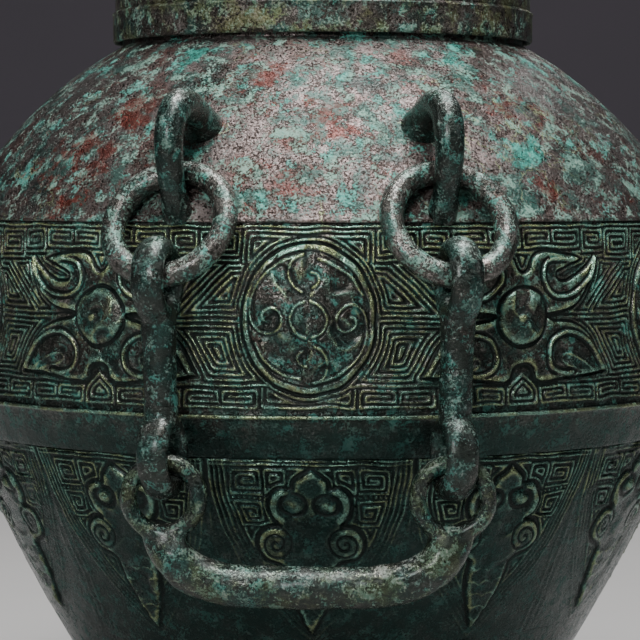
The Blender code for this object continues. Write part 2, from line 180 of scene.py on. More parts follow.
@named
class PatinaColours(bpy.types.PropertyGroup):
    """The colours of bare bronze and of what has grown on it."""

    metal: colour("Worn mauve-grey bronze", (0.270, 0.218, 0.208))
    brown: colour("Brown oxide", (0.072, 0.047, 0.040))
    cuprite: colour("Red-brown oxide", (0.130, 0.027, 0.019))
    dark_green: colour("Dark green patina", (0.0050, 0.0230, 0.0200))
    green: colour("Green patina", (0.022, 0.108, 0.086))
    turquoise: colour("Turquoise patches", (0.060, 0.420, 0.340))
    mint: colour("Powdery pale green", (0.240, 0.450, 0.350))
    # cream also goes on raised edges, partly as powdery patina and partly as a painted highlight
    cream: colour("Pale dust on worn edges", (0.340, 0.400, 0.200))
    # salt goes more on upward-facing tops, partly as wear and partly as a painted highlight
    salt: colour("Bright specks of rubbed metal", (0.620, 0.580, 0.550))
    # very dark green for pits, and for the hollows, where it is partly patina and partly painted shade
    black: colour("Black-green hollows", (0.0028, 0.0072, 0.0058))
    ochre: colour("Yellow-green film", (0.230, 0.240, 0.075))
    floor: colour("Pale studio floor", (0.50, 0.49, 0.48))
    backdrop: colour("Grey sheet far behind", (0.290, 0.262, 0.302))


@named
class StageSizes(bpy.types.PropertyGroup):
    """Where the photograph was taken from, and its light."""

    distance: length("Camera to the jar's axis", 1.082)
    height: length("Height of the camera", 0.25875)
    azimuth: number("Degrees of the camera to the right of the jar's front", 1.87)
    pitch: number("Degrees that the camera looks down", 3.19)
    aside: number("Degrees that the camera looks left of the axis", 0.065)
    lens: number("Focal length in millimetres on a 36 mm sensor", 135.3)
    key_power: number("Power of the overhead light in watts", 15.0)
    fill_power: number("Power of the side lights in watts", 1.3)
    front_power: number("Power of the light above the camera in watts", 7.0)
    near_power: number("Power of the light on the camera's left in watts", 7.0)
    room: number("Strength of the even light of the room", 0.03)


# Shapes as arrays

# Plane waves in an uneven field, a turned profile's least radius, and the height in millimetres of a full crest
WAVES = 18
AXIS = 0.0004
CREST = 0.5
# Half a nested line's width as a share of the lines' pitch
LINE_SHARE = 0.235


def arc(start, end, bulge, steps):
    """Points on the circular arc from start to end that stands out from its chord by bulge, to the right.

    With chord c the radius is (c² / 4 + bulge²) / (2 bulge), and the angle runs evenly over the arc.
    """
    start, end = np.array(start), np.array(end)
    chord = float(np.hypot(*(end - start)))
    along = (end - start) / chord
    out = np.array([along[1], -along[0]])
    radius = (chord**2 / 4 + bulge**2) / (2 * bulge)
    half = math.asin(chord / (2 * radius))
    angle = np.linspace(-half, half, steps + 1)[:, None]
    return (start + end) / 2 + along * radius * np.sin(angle) + out * (radius * np.cos(angle) - radius + bulge)


class Wall:
    """The jar's outside without its relief, as radius and outward normal over height."""

    def __init__(self, sizes, steps=200):
        self.band_foot = sizes.belly_height - sizes.band_height
        self.frieze_top = sizes.belly_height + sizes.frieze_height
        self.neck_foot = self.frieze_top + sizes.shoulder_height
        self.rim = self.neck_foot + sizes.neck_height
        foot, belly = (sizes.base_radius, sizes.foot_height), (sizes.belly_radius, sizes.belly_height)
        self.lower = arc(foot, belly, sizes.lower_bulge, steps)
        top, neck = (sizes.belly_radius - sizes.frieze_taper, self.frieze_top), (sizes.neck_radius, self.neck_foot)
        self.shoulder = arc(top, neck, sizes.shoulder_bulge, steps)
        self.curve = np.vstack([self.lower, self.shoulder])
        self.ground_depth, self.thickness = sizes.ground_depth, sizes.thickness

    def at(self, height):
        """The radius at a height, and the outward normal there: the tangent by a small difference, turned."""
        step = 1e-4
        here = np.interp(height, self.curve[:, 1], self.curve[:, 0])
        above = np.interp(height + step, self.curve[:, 1], self.curve[:, 0])
        slope = (above - np.interp(height - step, self.curve[:, 1], self.curve[:, 0])) / (2 * step)
        norm = np.sqrt(1 + slope**2)
        return here, 1 / norm, -slope / norm

    def point(self, angle, height, lift):
        """World points that stand out from the relief's ground by lift, along the wall's normal."""
        radius, out, up = self.at(height)
        lift = lift - self.ground_depth
        return polar(angle, radius + out * lift, height + up * lift)

    def rows(self, low, high, step):
        """Heights from low to high whose places on the wall are step apart."""
        heights = np.linspace(low, high, 400)
        run = np.concatenate([[0], np.cumsum(np.hypot(np.diff(self.at(heights)[0]), np.diff(heights)))])
        return np.interp(np.linspace(0, run[-1], int(run[-1] / step) + 2), run, heights)


def polar(angle, radius, height):
    """World points at an angle in degrees from -Y towards +X, a radius and a height."""
    turn = np.radians(angle)
    return np.stack(np.broadcast_arrays(radius * np.sin(turn), -radius * np.cos(turn), height), axis=-1)


def uneven(points, size, depth, seed):
    """A smooth random field: the sum of plane waves of random heading and phase and about that size."""
    draw = np.random.default_rng(seed)
    heading = draw.normal(size=(WAVES, 3))
    heading /= np.linalg.norm(heading, axis=1)[:, None] * size * draw.uniform(0.6, 1.7, WAVES)[:, None]
    waves = np.sin(points @ heading.T * 2 * np.pi + draw.uniform(0, 2 * np.pi, WAVES))
    return waves.sum(-1) / math.sqrt(WAVES / 2) * depth


def blurred(field, across, up):
    """A field averaged over a window of that many points each way, by differences of running sums."""
    for axis, reach in ((0, up), (1, across)):
        pad = [(0, 0), (0, 0)]
        pad[axis] = (reach + 1, reach)
        total = np.cumsum(np.pad(field, pad, mode="edge"), axis=axis)
        size = field.shape[axis]
        ahead = np.take(total, np.arange(2 * reach + 1, 2 * reach + 1 + size), axis=axis)
        field = (ahead - np.take(total, np.arange(size), axis=axis)) / (2 * reach + 1)
    return field


def wrapped(name, points, closed_path=True, sharp=55, cavity=None):
    """A closed surface over a grid of points, whose columns run round a section and whose rows follow a path.

    The section joins up. The path joins up too, or ends in a flat face at each end. The faces point out:
    they are turned round where the enclosed volume, the sum of a · (b × c) / 6 over triangles, is negative.
    """
    rows, columns = points.shape[:2]
    index = np.arange(rows * columns).reshape(rows, columns)
    ring = np.hstack([index, index[:, :1]])
    if closed_path:
        ring = np.vstack([ring, ring[:1]])
    quads = np.stack([ring[:-1, :-1], ring[:-1, 1:], ring[1:, 1:], ring[1:, :-1]], axis=-1).reshape(-1, 4)
    ends = [] if closed_path else [index[0, ::-1], index[-1]]
    flat = points.reshape(-1, 3)
    a, b, c, d = (flat[quads[:, corner]] for corner in range(4))
    volume = np.einsum("ij,ij->", a, np.cross(b, c) + np.cross(c, d))
    for end in ends:
        fan = flat[end]
        volume += np.einsum("j,ij->", fan[0], np.cross(fan[1:-1], fan[2:]))
    if volume < 0:
        quads, ends = quads[:, ::-1], [end[::-1] for end in ends]
    mesh = bpy.data.meshes.new(name)
    mesh.vertices.add(len(flat))
    mesh.vertices.foreach_set("co", flat.astype(np.float32).ravel())
    corners = np.concatenate([quads.ravel(), *ends]).astype(np.int32)
    sizes = [4] * len(quads) + [len(end) for end in ends]
    mesh.loops.add(len(corners))
    mesh.loops.foreach_set("vertex_index", corners)
    mesh.polygons.add(len(sizes))
    mesh.polygons.foreach_set("loop_start", np.concatenate([[0], np.cumsum(sizes)[:-1]]).astype(np.int32))
    mesh.update(calc_edges=True)
    if cavity is not None:
        layer = mesh.attributes.new("cavity", "FLOAT", "POINT")
        layer.data.foreach_set("value", cavity.astype(np.float32).ravel())
    return placed(name, mesh, sharp)


def placed(name, mesh, sharp):
    """An object at the origin for a mesh, smooth but for its edges sharper than that many degrees."""
    mesh.shade_smooth()
    mesh.set_sharp_from_angle(angle=math.radians(sharp))
    piece = bpy.data.objects.new(name, mesh)
    bpy.context.scene.collection.objects.link(piece)
    return piece


def tube(name, centres, thick, wide, sides, closed=False):
    """A bar along centres with an elliptical section: centre + cos(a) thick + sin(a) wide."""
    angle = np.linspace(0, 2 * np.pi, sides, endpoint=False)[None, :, None]
    points = centres[:, None] + np.cos(angle) * thick[:, None] + np.sin(angle) * wide[:, None]
    return wrapped(name, points, closed_path=closed)


def hand_in(piece, finish, node="jar"):
    """Finish a piece: its material, what it rides on, the record's slot and the node it stands for."""
    piece.data.materials.clear()
    piece.data.materials.append(finish_of(finish))
    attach(piece, BODY)
    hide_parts(node)


# Patterns, in millimetres


def smooth_line(corners, steps=5):
    """A Catmull-Rom curve through these corners, as a line of straight runs."""
    p = np.array(corners, float)
    p = np.vstack([2 * p[0] - p[1], p, 2 * p[-1] - p[-2]])
    t = np.linspace(0, 1, steps, endpoint=False)[None, :, None]
    a, b, c, d = (p[start : len(p) - 3 + start, None] for start in range(4))
    curve = b + 0.5 * ((c - a) * t + (2 * a - 5 * b + 4 * c - d) * t**2 + (3 * b - a - 3 * c + d) * t**3)
    return np.vstack([curve.reshape(-1, 2), p[-2]])


def distance(s, t, line):
    """The distance from each point to a line of straight runs: the least of its distances to the runs."""
    best = np.full(np.shape(s), 1e9)
    for (s0, t0), (s1, t1) in zip(line[:-1], line[1:]):
        ds, dt = s1 - s0, t1 - t0
        share = np.clip(((s - s0) * ds + (t - t0) * dt) / (ds * ds + dt * dt + 1e-12), 0, 1)
        best = np.minimum(best, np.hypot(s - s0 - share * ds, t - t0 - share * dt))
    return best


def inside(s, t, outline):
    """Whether each point lies in a closed outline: an odd number of its runs pass to its right."""
    odd = np.zeros(np.shape(s), bool)
    for (s0, t0), (s1, t1) in zip(outline, np.roll(outline, -1, axis=0)):
        odd ^= ((t0 > t) != (t1 > t)) & (s < s0 + (t - t0) * (s1 - s0) / ((t1 - t0) or 1))
    return odd


def outside_of(s, t, outline):
    """The signed distance to a mirrored half outline that starts and ends on s = 0: positive outside it."""
    away = distance(s, t, outline)
    return np.where(inside(s, t, outline), -away, away)


def ridge(away, half_width):
    """1 on a line and 0 beyond twice its half width: (1 - (d / 2w)²)²."""
    return np.clip(1 - (away / (2 * half_width)) ** 2, 0, None) ** 2


def rise(away, width):
    """A rounded step from 0 at the edge to 1 at that width inside it, as x²(3 - 2x)."""
    x = np.clip(away / width, 0, 1)
    return x * x * (3 - 2 * x)


def nested(away, pitch):
    """Lines at every odd half pitch from an edge, 1 on a line and 0 between two."""
    return ridge(np.abs(away / pitch % 1 - 0.5), LINE_SHARE) * (away > 0)


def least(*distances, round_by=1.3):
    """The least of several distances, rounded where two are alike: min(a, b) - h² r / 4, h = 1 - |a - b| / r."""

    def pair(a, b):
        near = np.clip(1 - np.abs(a - b) / round_by, 0, None)
        return np.minimum(a, b) - near**2 * round_by / 4

    return reduce(pair, distances)


def spiral_cell(s, t, left, right, low, high, pitch, hand=1):
    """How far in a point lies in a squared spiral: the distance to the nearest side of its cell.

    One corner of the floor is raised by a pitch against the side next to it, which links each turn to the next.
    """
    from_left, from_right = (s - left, right - s) if hand > 0 else (right - s, s - left)
    from_low = t - low
    floor = np.where(from_left < from_low - pitch, from_left, from_low)
    return least(from_right, high - t, floor)


def joined(*curves):
    """The points of several smooth lines, end to end."""
    return [point for corners in curves for point in smooth_line(corners, 4).tolist()]


# The four-petal plate's right half: outline, curls and strokes, in millimetres from its boss
PLATE = np.array(
    joined(
        [(0, 17.2), (2.2, 18.6), (4.2, 22.6), (7.5, 24.6), (15, 25.0), (24, 24.2), (30.5, 22.4)],
        [(30.5, 22.4), (27.5, 21.4), (21.5, 19.2), (16.6, 16.9), (17.6, 14.2), (22, 13.6)],
        [(22, 13.6), (28, 16.4), (33.5, 20.4), (38.2, 24.2), (37.4, 20.6), (35.4, 14.4)],
        [(35.4, 14.4), (31.5, 8.2), (26, 3.8), (20, 1.7), (13.2, 0.9), (12.6, -0.2)],
        [(12.6, -0.2), (15, -1.4), (23, -2.6), (30.5, -5.6), (36.4, -11.2), (40.4, -17.4)],
    )
    + [(43.2, -22.9), (31, -23.6), (20, -24.9), (8.4, -25.6), (5.6, -24.2), (4.2, -20), (2.4, -18.6), (0, -18.4)]
)
UPPER_CURL = smooth_line(
    [(38.0, 23.9), (34.4, 15.6), (28.2, 9.8), (20.2, 7.4), (13.0, 9.6)]
    + [(9.6, 15.0), (11.4, 20.6), (17.8, 22.4), (24.5, 21.9)]
)
LOWER_CURL = smooth_line(
    [(40.6, -21.6), (35.4, -13.6), (28.6, -8.2), (20.6, -6.6), (14.0, -9.4)]
    + [(11.6, -15.0), (13.6, -20.6), (19.6, -22.9), (24.4, -22.2)]
)
LEAF = smooth_line(
    [(35.5, -22.2), (29.0, -17.5), (21.5, -15.2), (18.6, -17.0), (20.8, -19.4), (26.5, -20.6), (31.5, -22.4)]
)
STROKES = [
    smooth_line([(21.5 - 1.9 * k, 15.4 + 1.7 * k), (26.5 - 1.6 * k, 17.8 + 1.5 * k), (32.0 - 1.5 * k, 21.2 + 0.9 * k)])
    for k in (0, 1)
]
LOWER_BOWL, LOWER_BOWL_SIZE = (17.5, -15.2), (5.6, 6.4)
UPPER_BOWL, UPPER_BOWL_SIZE = (15.6, 15.4), (5.0, 5.6)
# Half of the roundel's whirl: two curls that spring from its inner ring, with a hook and a rim line
WHIRL = [
    smooth_line(
        [(-2.2, 24.6), (-10.3, 21.9), (-17.1, 16.6), (-21.4, 9.6), (-22.6, 3.1), (-20.8, -2.4), (-17.1, -5.4)]
        + [(-13.3, -5.0), (-10.4, -1.2), (-11.2, 3.2), (-14.5, 4.8), (-17.5, 3.0), (-17.6, 0.4), (-15.6, -0.8)]
    ),
    smooth_line([(-2.2, 24.6), (-5.6, 22.8), (-7.3, 19.4), (-7.2, 15.6), (-5.2, 12.2), (-2.2, 10.2)]),
    smooth_line([(0.9, 17.8), (3.0, 17.2), (4.0, 15.2), (3.4, 13.0), (1.8, 12.0)]),
    smooth_line([(3.3, 23.0), (9.1, 21.3), (16.4, 15.9), (20.4, 9.4)]),
    smooth_line([(-1.2, 6.7), (-4.6, 5.0), (-6.8, 0), (-4.8, -4.9), (-1.2, -7.0)]),
]
# The mask on a blade: its right half, across and down from the blade's top, in millimetres
FIGURE = np.array(
    joined(
        [(0, 3.6), (3.0, 5.6), (6.6, 8.6), (7.8, 12.2), (11.4, 11.4), (15.4, 13.8), (16.9, 18.6), (15.4, 24.4)]
        + [(12.6, 27.2)],
        [(12.6, 27.2), (17.6, 27.6), (21.0, 31.6), (21.2, 37.0), (18.0, 41.6), (12.6, 43.4), (9.8, 45.4)],
    )
    + [(9.6, 50), (8.2, 57), (5.4, 65), (2.4, 72), (0, 76)]
)
HORN = smooth_line([(8.6, 12.8), (12.2, 13.4), (14.6, 17.2), (14.2, 21.8), (11.6, 25.2)])
EYE, DISC = (6.6, 18.2), (13.4, 34.8)
SCALE_WIDTH, SCALE_HEIGHT, SCALES_FROM = 6.2, 5.6, 47
# The lines that fill the frieze part along its middle line, and along both sides of a slanted edge by the petal
MIDLINE = 0.2
SLANT_FOOT, SLANT_TOP = (33.5, 1.2), (54.0, 20.8)
# Squared spirals: each cell's sides, and for the upper row its foot, all from a plate's boss
ROW_TOP, ROW_FOOT, FOOT_ROW_TOP = 34.6, -34.9, -26.6
TOP_CELLS = ((0.0, 14.8, 26.2), (14.8, 30.4, 26.2), (30.4, 43.4, 24.2), (43.4, 60.6, 21.6))
FOOT_CELLS = ((7.4, 21.6), (21.6, 36.8), (36.8, 52.2), (52.2, 67.6))
SPANDREL = 60.6
# The peaked field under a plate: half its width, where it starts, and its roof's slope
PEAK, PEAK_FROM, ROOF_FROM, ROOF_SLOPE = 7.4, -18, -21.0, (0.67, 0.74)
BOSS_RADIUS = 11.0
PLATE_ROUNDING = 1.3
DEEPEST = -0.9
# On a blade, the spirals beside the mask: each cell's sides, and how far its top and foot are below the blade's top
BLADE_CELLS = ((8.6, 18.8, 3.6, 15.6), (18.8, 32.4, 3.6, 15.6), (18.2, 31.6, 16.6, 28.6))
# Degrees after which the frieze and the blades repeat
FRIEZE_TURN, BLADE_TURN = 60, 30


def frieze_ground(s_plate, t, from_round, from_plate, pitch):
    """How far in a point lies in the lines that fill the frieze, and the place's own edges.

    Rows of squared spirals run along the top and the foot. Between them the lines nest inside the nearest edges.
    """
    edges = least(from_round, from_plate)
    (s0, t0), (s1, t1) = SLANT_FOOT, SLANT_TOP
    slant = np.abs((s_plate - s0) * (t1 - t0) - (t - t0) * (s1 - s0)) / math.hypot(s1 - s0, t1 - t0)
    middle = least(edges, TOP_CELLS[0][2] - t, t - FOOT_ROW_TOP, np.abs(t - MIDLINE))
    middle = np.where((t > MIDLINE) & (s_plate > s0), least(middle, slant), middle)
    for count, (left, right, foot) in enumerate(TOP_CELLS):
        cell = spiral_cell(s_plate, t, left, right, foot, ROW_TOP, pitch, 1 if count == 1 else -1)
        in_column = (s_plate >= left) & (s_plate < right)
        middle = np.where(in_column & (t < foot), np.minimum(middle, foot - t), middle)
        middle = np.where(in_column & (t >= foot), np.minimum(cell, edges), middle)
    for count, (left, right) in enumerate(FOOT_CELLS):
        cell = spiral_cell(s_plate, t, left, right, ROW_FOOT, FOOT_ROW_TOP, pitch, 1 if count % 2 else -1)
        in_cell = (s_plate >= left) & (s_plate < right) & (t < FOOT_ROW_TOP)
        middle = np.where(in_cell, np.minimum(cell, edges), middle)
    roof = (ROOF_FROM - t) * ROOF_SLOPE[1] - s_plate * ROOF_SLOPE[0]
    peak = least(roof, PEAK - s_plate, t - ROW_FOOT, edges)
    middle = np.where((s_plate < PEAK) & (t < PEAK_FROM), peak, middle)
    spandrel = least(s_plate - SPANDREL, ROW_TOP - t, from_round)
    middle = np.where((s_plate >= SPANDREL) & (t > TOP_CELLS[-1][2]), spandrel, middle)
    last = FOOT_CELLS[-1][1]
    under = least(s_plate - last, t - ROW_FOOT, from_round)
    return np.where((s_plate >= last) & (t < FOOT_ROW_TOP), under, middle)


def bowl(s, t, middle, size):
    """How deep in a point lies in an elliptical bowl: 1 at its middle and 0 at its rim."""
    return 1 - np.hypot((s - middle[0]) / size[0], (t - middle[1]) / size[1])


def plate_marks(s, t, inset):
    """The curls, strokes and bowls cut in a four-petal plate, in millimetres."""
    to_curl = np.minimum(distance(s, t, UPPER_CURL), distance(s, t, LOWER_CURL))
    to_line = np.minimum.reduce([distance(s, t, stroke) for stroke in (LEAF, *STROKES)])
    curls = 0.85 * ridge(to_curl, 0.5) - 0.55 * ridge(to_curl - 1.35, 0.45) + 0.55 * ridge(to_line, 0.4)
    lower = rise(bowl(s, t, LOWER_BOWL, LOWER_BOWL_SIZE), 0.7)
    upper = rise(bowl(s, t, UPPER_BOWL, UPPER_BOWL_SIZE), 0.8)
    return (curls - lower - 0.7 * upper) * rise(inset, 1.0) + 0.45 * ridge(inset - 0.8, 0.4) * (inset > 0)


def boss_height(s, t, top):
    """A plate's boss: a low drum under a smooth dome, sqrt(1 - r²), with a nipple in a shallow pit."""
    away = np.hypot(s, t)
    dome = top * (0.30 + 0.70 * np.sqrt(np.clip(1 - (away / BOSS_RADIUS) ** 2, 0, 1)))
    from_pit = np.hypot(s - 0.2, t - 0.9)
    nipple = np.hypot(s + 1.5, t + 0.4)
    return dome - 0.7 * rise(4.2 - from_pit, 2.2) + 1.3 * rise(2.3 - nipple, 2.0)


def roundel_height(s, t, share, from_edge, top):
    """The roundel: a rim band, a groove and a low dome, 1 - r², with a whirl of thin raised lines."""
    disc = top * (0.38 * rise(from_edge, 1.1) + 0.62 * np.clip(1 - share**2, 0, 1))
    disc -= 0.60 * ridge(share - 0.885, 0.013) + 0.22 * ridge(share - 0.850, 0.010)
    curves = [distance(hand * s, hand * t, curve) for hand in (1, -1) for curve in WHIRL]
    to_whirl = np.minimum.reduce(curves)
    return disc + 0.62 * ridge(to_whirl, 0.40) - 0.28 * ridge(to_whirl - 1.0, 0.35)


def frieze_relief(angle, height, wall_sizes, relief):
    """The frieze's height above its ground, in millimetres, at angles in degrees and heights in metres.

    Each turn has a roundel in the middle and half a four-petal plate on each side.
    """
    radius = (wall_sizes.belly_radius - wall_sizes.frieze_taper / 2) / MM
    t = (height - wall_sizes.belly_height - wall_sizes.frieze_height / 2) / MM
    half_turn = FRIEZE_TURN / 2
    turn = (angle + half_turn) % FRIEZE_TURN - half_turn
    s_round = np.radians(turn) * radius
    s_plate = np.radians(half_turn - np.abs(turn)) * radius
    pitch, line = relief.line_pitch / MM, relief.line_height / MM

    half_width, half_height = relief.roundel_width / 2 / MM, relief.roundel_height / 2 / MM
    share = np.hypot(s_round / half_width, t / half_height)
    from_round = (share - 1) * (half_width + half_height) / 2
    from_plate = np.full(np.shape(s_plate), 99.0)
    near_plate = s_plate < PLATE[:, 0].max() + 6 * pitch
    from_plate[near_plate] = outside_of(s_plate[near_plate], t[near_plate], PLATE)

    field = (t < ROW_TOP) & (t > ROW_FOOT)
    lines = nested(frieze_ground(s_plate, t, from_round, from_plate, pitch), pitch) * field
    edge_line, round_line = ridge(t - ROW_TOP - 0.85, 0.42), ridge(from_round - 1.3, 0.45) * field
    lifted = line * np.maximum.reduce([lines, edge_line, round_line])
    on_plate = from_plate < 0
    inset = -from_plate[on_plate]
    plate = relief.plate_lift / MM * rise(inset, PLATE_ROUNDING) - 0.35 * rise(inset - 1.6, 2.4)
    lifted[on_plate] = plate + plate_marks(s_plate[on_plate], t[on_plate], inset)
    side = np.where(turn > 0, -s_plate, s_plate)
    from_boss = np.hypot(side, t)
    on_boss = from_boss < BOSS_RADIUS
    lifted -= 0.9 * ridge(from_boss - BOSS_RADIUS - 0.7, 0.55) * ~on_boss
    lifted[on_boss] = boss_height(side[on_boss], t[on_boss], relief.boss_lift / MM)
    in_round = share < 1
    inner = (s_round[in_round], t[in_round], share[in_round], -from_round[in_round])
    lifted[in_round] = roundel_height(*inner, relief.roundel_lift / MM)
    return np.maximum(lifted, DEEPEST)


def blade_relief(angle, height, wall, relief):
    """The blades' height above their ground, in millimetres, one blade to each turn.

    A blade's half width is the share 1 - u^2.5 of its field's, where u runs from 0 at its top to 1 at its tip.
    """
    radius = wall.at(height)[0] / MM
    down = (wall.band_foot - height) / MM
    long = relief.blade_length / MM
    half_turn = BLADE_TURN / 2
    turn = (angle + half_turn) % BLADE_TURN - half_turn
    s = np.abs(np.radians(turn)) * radius
    u = np.clip(down / long, 0, 1)
    to_rib = np.radians(half_turn) * radius
    half = to_rib * (1 - u**2.5) - 0.6
    lean = np.cos(np.arctan(np.gradient(half, axis=0) / (np.gradient(down, axis=0) + 1e-9)))
    within = (half - s) * lean
    pitch, line = relief.line_pitch / MM, relief.line_height / MM * 1.1
    border = relief.blade_border / MM

    from_figure = outside_of(s, down, FIGURE)
    field = within - border
    fill = least(field, from_figure, down - 3.2)
    for left, right, high, low in BLADE_CELLS:
        cell = least(spiral_cell(s, -down, left, right, -low, -high, pitch), from_figure)
        in_cell = (s >= left) & (s < right) & (down >= high) & (down < low)
        fill = np.where(in_cell, np.minimum(cell, field + 0.4), fill)
    lines = nested(fill, pitch) * (field > 0)
    sides = nested(within, border / 4) * (within < border) * (1 - 0.4 * rise(down - 16, 12))
    heads = (ridge(down - 2.3, 0.4) + ridge(down - 0.7, 0.35)) * (within > 1.2)
    from_rib = to_rib - s
    ribs = np.maximum(ridge(from_rib, 0.7), ridge(from_rib - 3.4, 0.6)) * rise(-within - 1.0, 1.5) * 0.3
    fade = 1 - 0.45 * rise(down - 26, 16)
    lifted = line * np.maximum.reduce([lines, sides * 0.9, heads, ribs]) * fade

    inset = np.clip(-from_figure, 0, None)
    body = 1.7 * rise(inset, 2.2) + 0.9 * ridge(distance(s, down, HORN), 1.25)
    from_eye = np.hypot((s - EYE[0]) / 1.15, down - EYE[1])
    body += 1.7 * rise(3.5 - from_eye, 3.0) - 0.7 * ridge(from_eye - 4.4, 0.6)
    from_disc = np.hypot(s - DISC[0], down - DISC[1])
    around = np.arctan2(down - DISC[1], s - DISC[0]) / (2 * np.pi)
    body -= 0.65 * ridge(np.abs((from_disc / 3.0 - around) % 1 - 0.5), 0.11) * (from_disc < 7.4)
    row = down / SCALE_HEIGHT
    scale = np.abs(((s + SCALE_WIDTH / 2 * (np.floor(row) % 2)) / SCALE_WIDTH) % 1 - 0.5)
    arcs = ridge(row % 1 - 0.35 - 1.1 * scale**2, 0.07) * (down > SCALES_FROM) * (inset > 0.8)
    lifted = np.where(inset > 0, body + 0.35 * arcs, lifted)
    return lifted * rise(long + 0.5 - down, 1.5) * rise(down + 0.1, 0.5)


def cast_skin(points, fine=(0.007, 0.035, 6)):
    """How far a cast wall stands out, in millimetres: wide swells and finer ones."""
    return uneven(points, 0.034, 0.10, 5) + uneven(points, *fine)


def shell(name, wall, angles, heights, outer, cavity, inner_rows, **finish):
    """A closed piece of wall: an outer grid of points, and behind it the plain inside of the wall in fewer rows."""
    angle, height = np.meshgrid(angles, np.linspace(heights[0], heights[-1], inner_rows))
    inner = wall.point(angle, height, wall.ground_depth - wall.thickness)
    inner[0, :, 2], inner[-1, :, 2] = heights[0], heights[-1]
    section = np.concatenate([inner[::-1], outer]).transpose(1, 0, 2)
    plain = np.zeros((inner_rows, len(angles)))
    return wrapped(name, section, cavity=np.vstack([plain, cavity]).T, **finish)


def hand_in_relief(name, wall, span, rows, step, pattern, wander, worn, inner_rows):
    """A closed piece of wall with a pattern in millimetres on its outside.

    The span is its two angles and the run between them in metres, and rows are its two heights. The pattern's places
    wander by two uneven fields, in degrees across and in millimetres up, and its height is worn down in places. The
    cavity attribute is the height less its average over about 3 mm, as a share of a full crest.
    """
    start, end, run = span
    heights = wall.rows(*rows, step)
    angles = np.linspace(start, end, int(run / step) + 1)
    angle, height = np.meshgrid(angles, heights)
    spot = wall.point(angle, height, 0.0)
    across, up = (uneven(spot, *field) for field in wander)
    lifted = pattern(angle + across, height + up * MM)
    depth, size, seed = worn
    lifted *= 1 - depth * np.clip(uneven(spot, size, 1.0, seed), 0, 1)
    reach = max(1, round(1.5 * MM / step))
    cavity = (lifted - blurred(blurred(lifted, reach, reach), reach, reach)) / CREST
    outer = wall.point(angle, height, (lifted + cast_skin(spot)) * MM)
    hand_in(shell(name, wall, angles, heights, outer, cavity, inner_rows, closed_path=False, sharp=75), "relief")


def turned_shell(name, wall, heights, lift, columns, worn):
    """A closed ring of plain wall, with an outer lift and a wear for each height."""
    angles = np.arange(columns) * 360 / columns
    angle, height = np.meshgrid(angles, heights)
    skin = cast_skin(wall.point(angle, height, 0.0), (0.011, 0.05, 7))
    outer = wall.point(angle, height, lift[:, None] + skin * MM)
    return shell(name, wall, angles, heights, outer, np.tile(worn[:, None], (1, columns)), 14, sharp=60)


# Finishes


def both_ways(operation):
    """The two methods of an operation: with the amount first, and with it second."""
    return (
        lambda self, other: self.math(operation, self, other),
        lambda self, other: self.math(operation, other, self),
    )


class Amount:
    """A number in a shader. Python arithmetic on it adds Math nodes."""

    __add__, __radd__ = both_ways("ADD")
    __sub__, __rsub__ = both_ways("SUBTRACT")
    __mul__, __rmul__ = both_ways("MULTIPLY")

    def __init__(self, recipe, socket):
        self.recipe, self.socket = recipe, socket

    def math(self, operation, *values):
        node = self.recipe.node("ShaderNodeMath", {"operation": operation}, dict(enumerate(values)))
        return Amount(self.recipe, node.outputs[0])

    def __abs__(self):
        return self.math("ABSOLUTE", self)

    def over(self, share, soft=0.03):
        """A soft mask of that share of a noise, whose values are nearly normal: 0.5, give or take 0.1."""
        edge = NormalDist(0.5, 0.1).inv_cdf(1 - share)
        return self.step(edge - soft, edge + soft)

    def step(self, low, high):
        """A soft step from 0 at low to 1 at high."""
        values = {"Value": self, "From Min": low, "From Max": high}
        node = self.recipe.node("ShaderNodeMapRange", {"interpolation_type": "SMOOTHSTEP"}, values)
        return Amount(self.recipe, node.outputs["Result"])


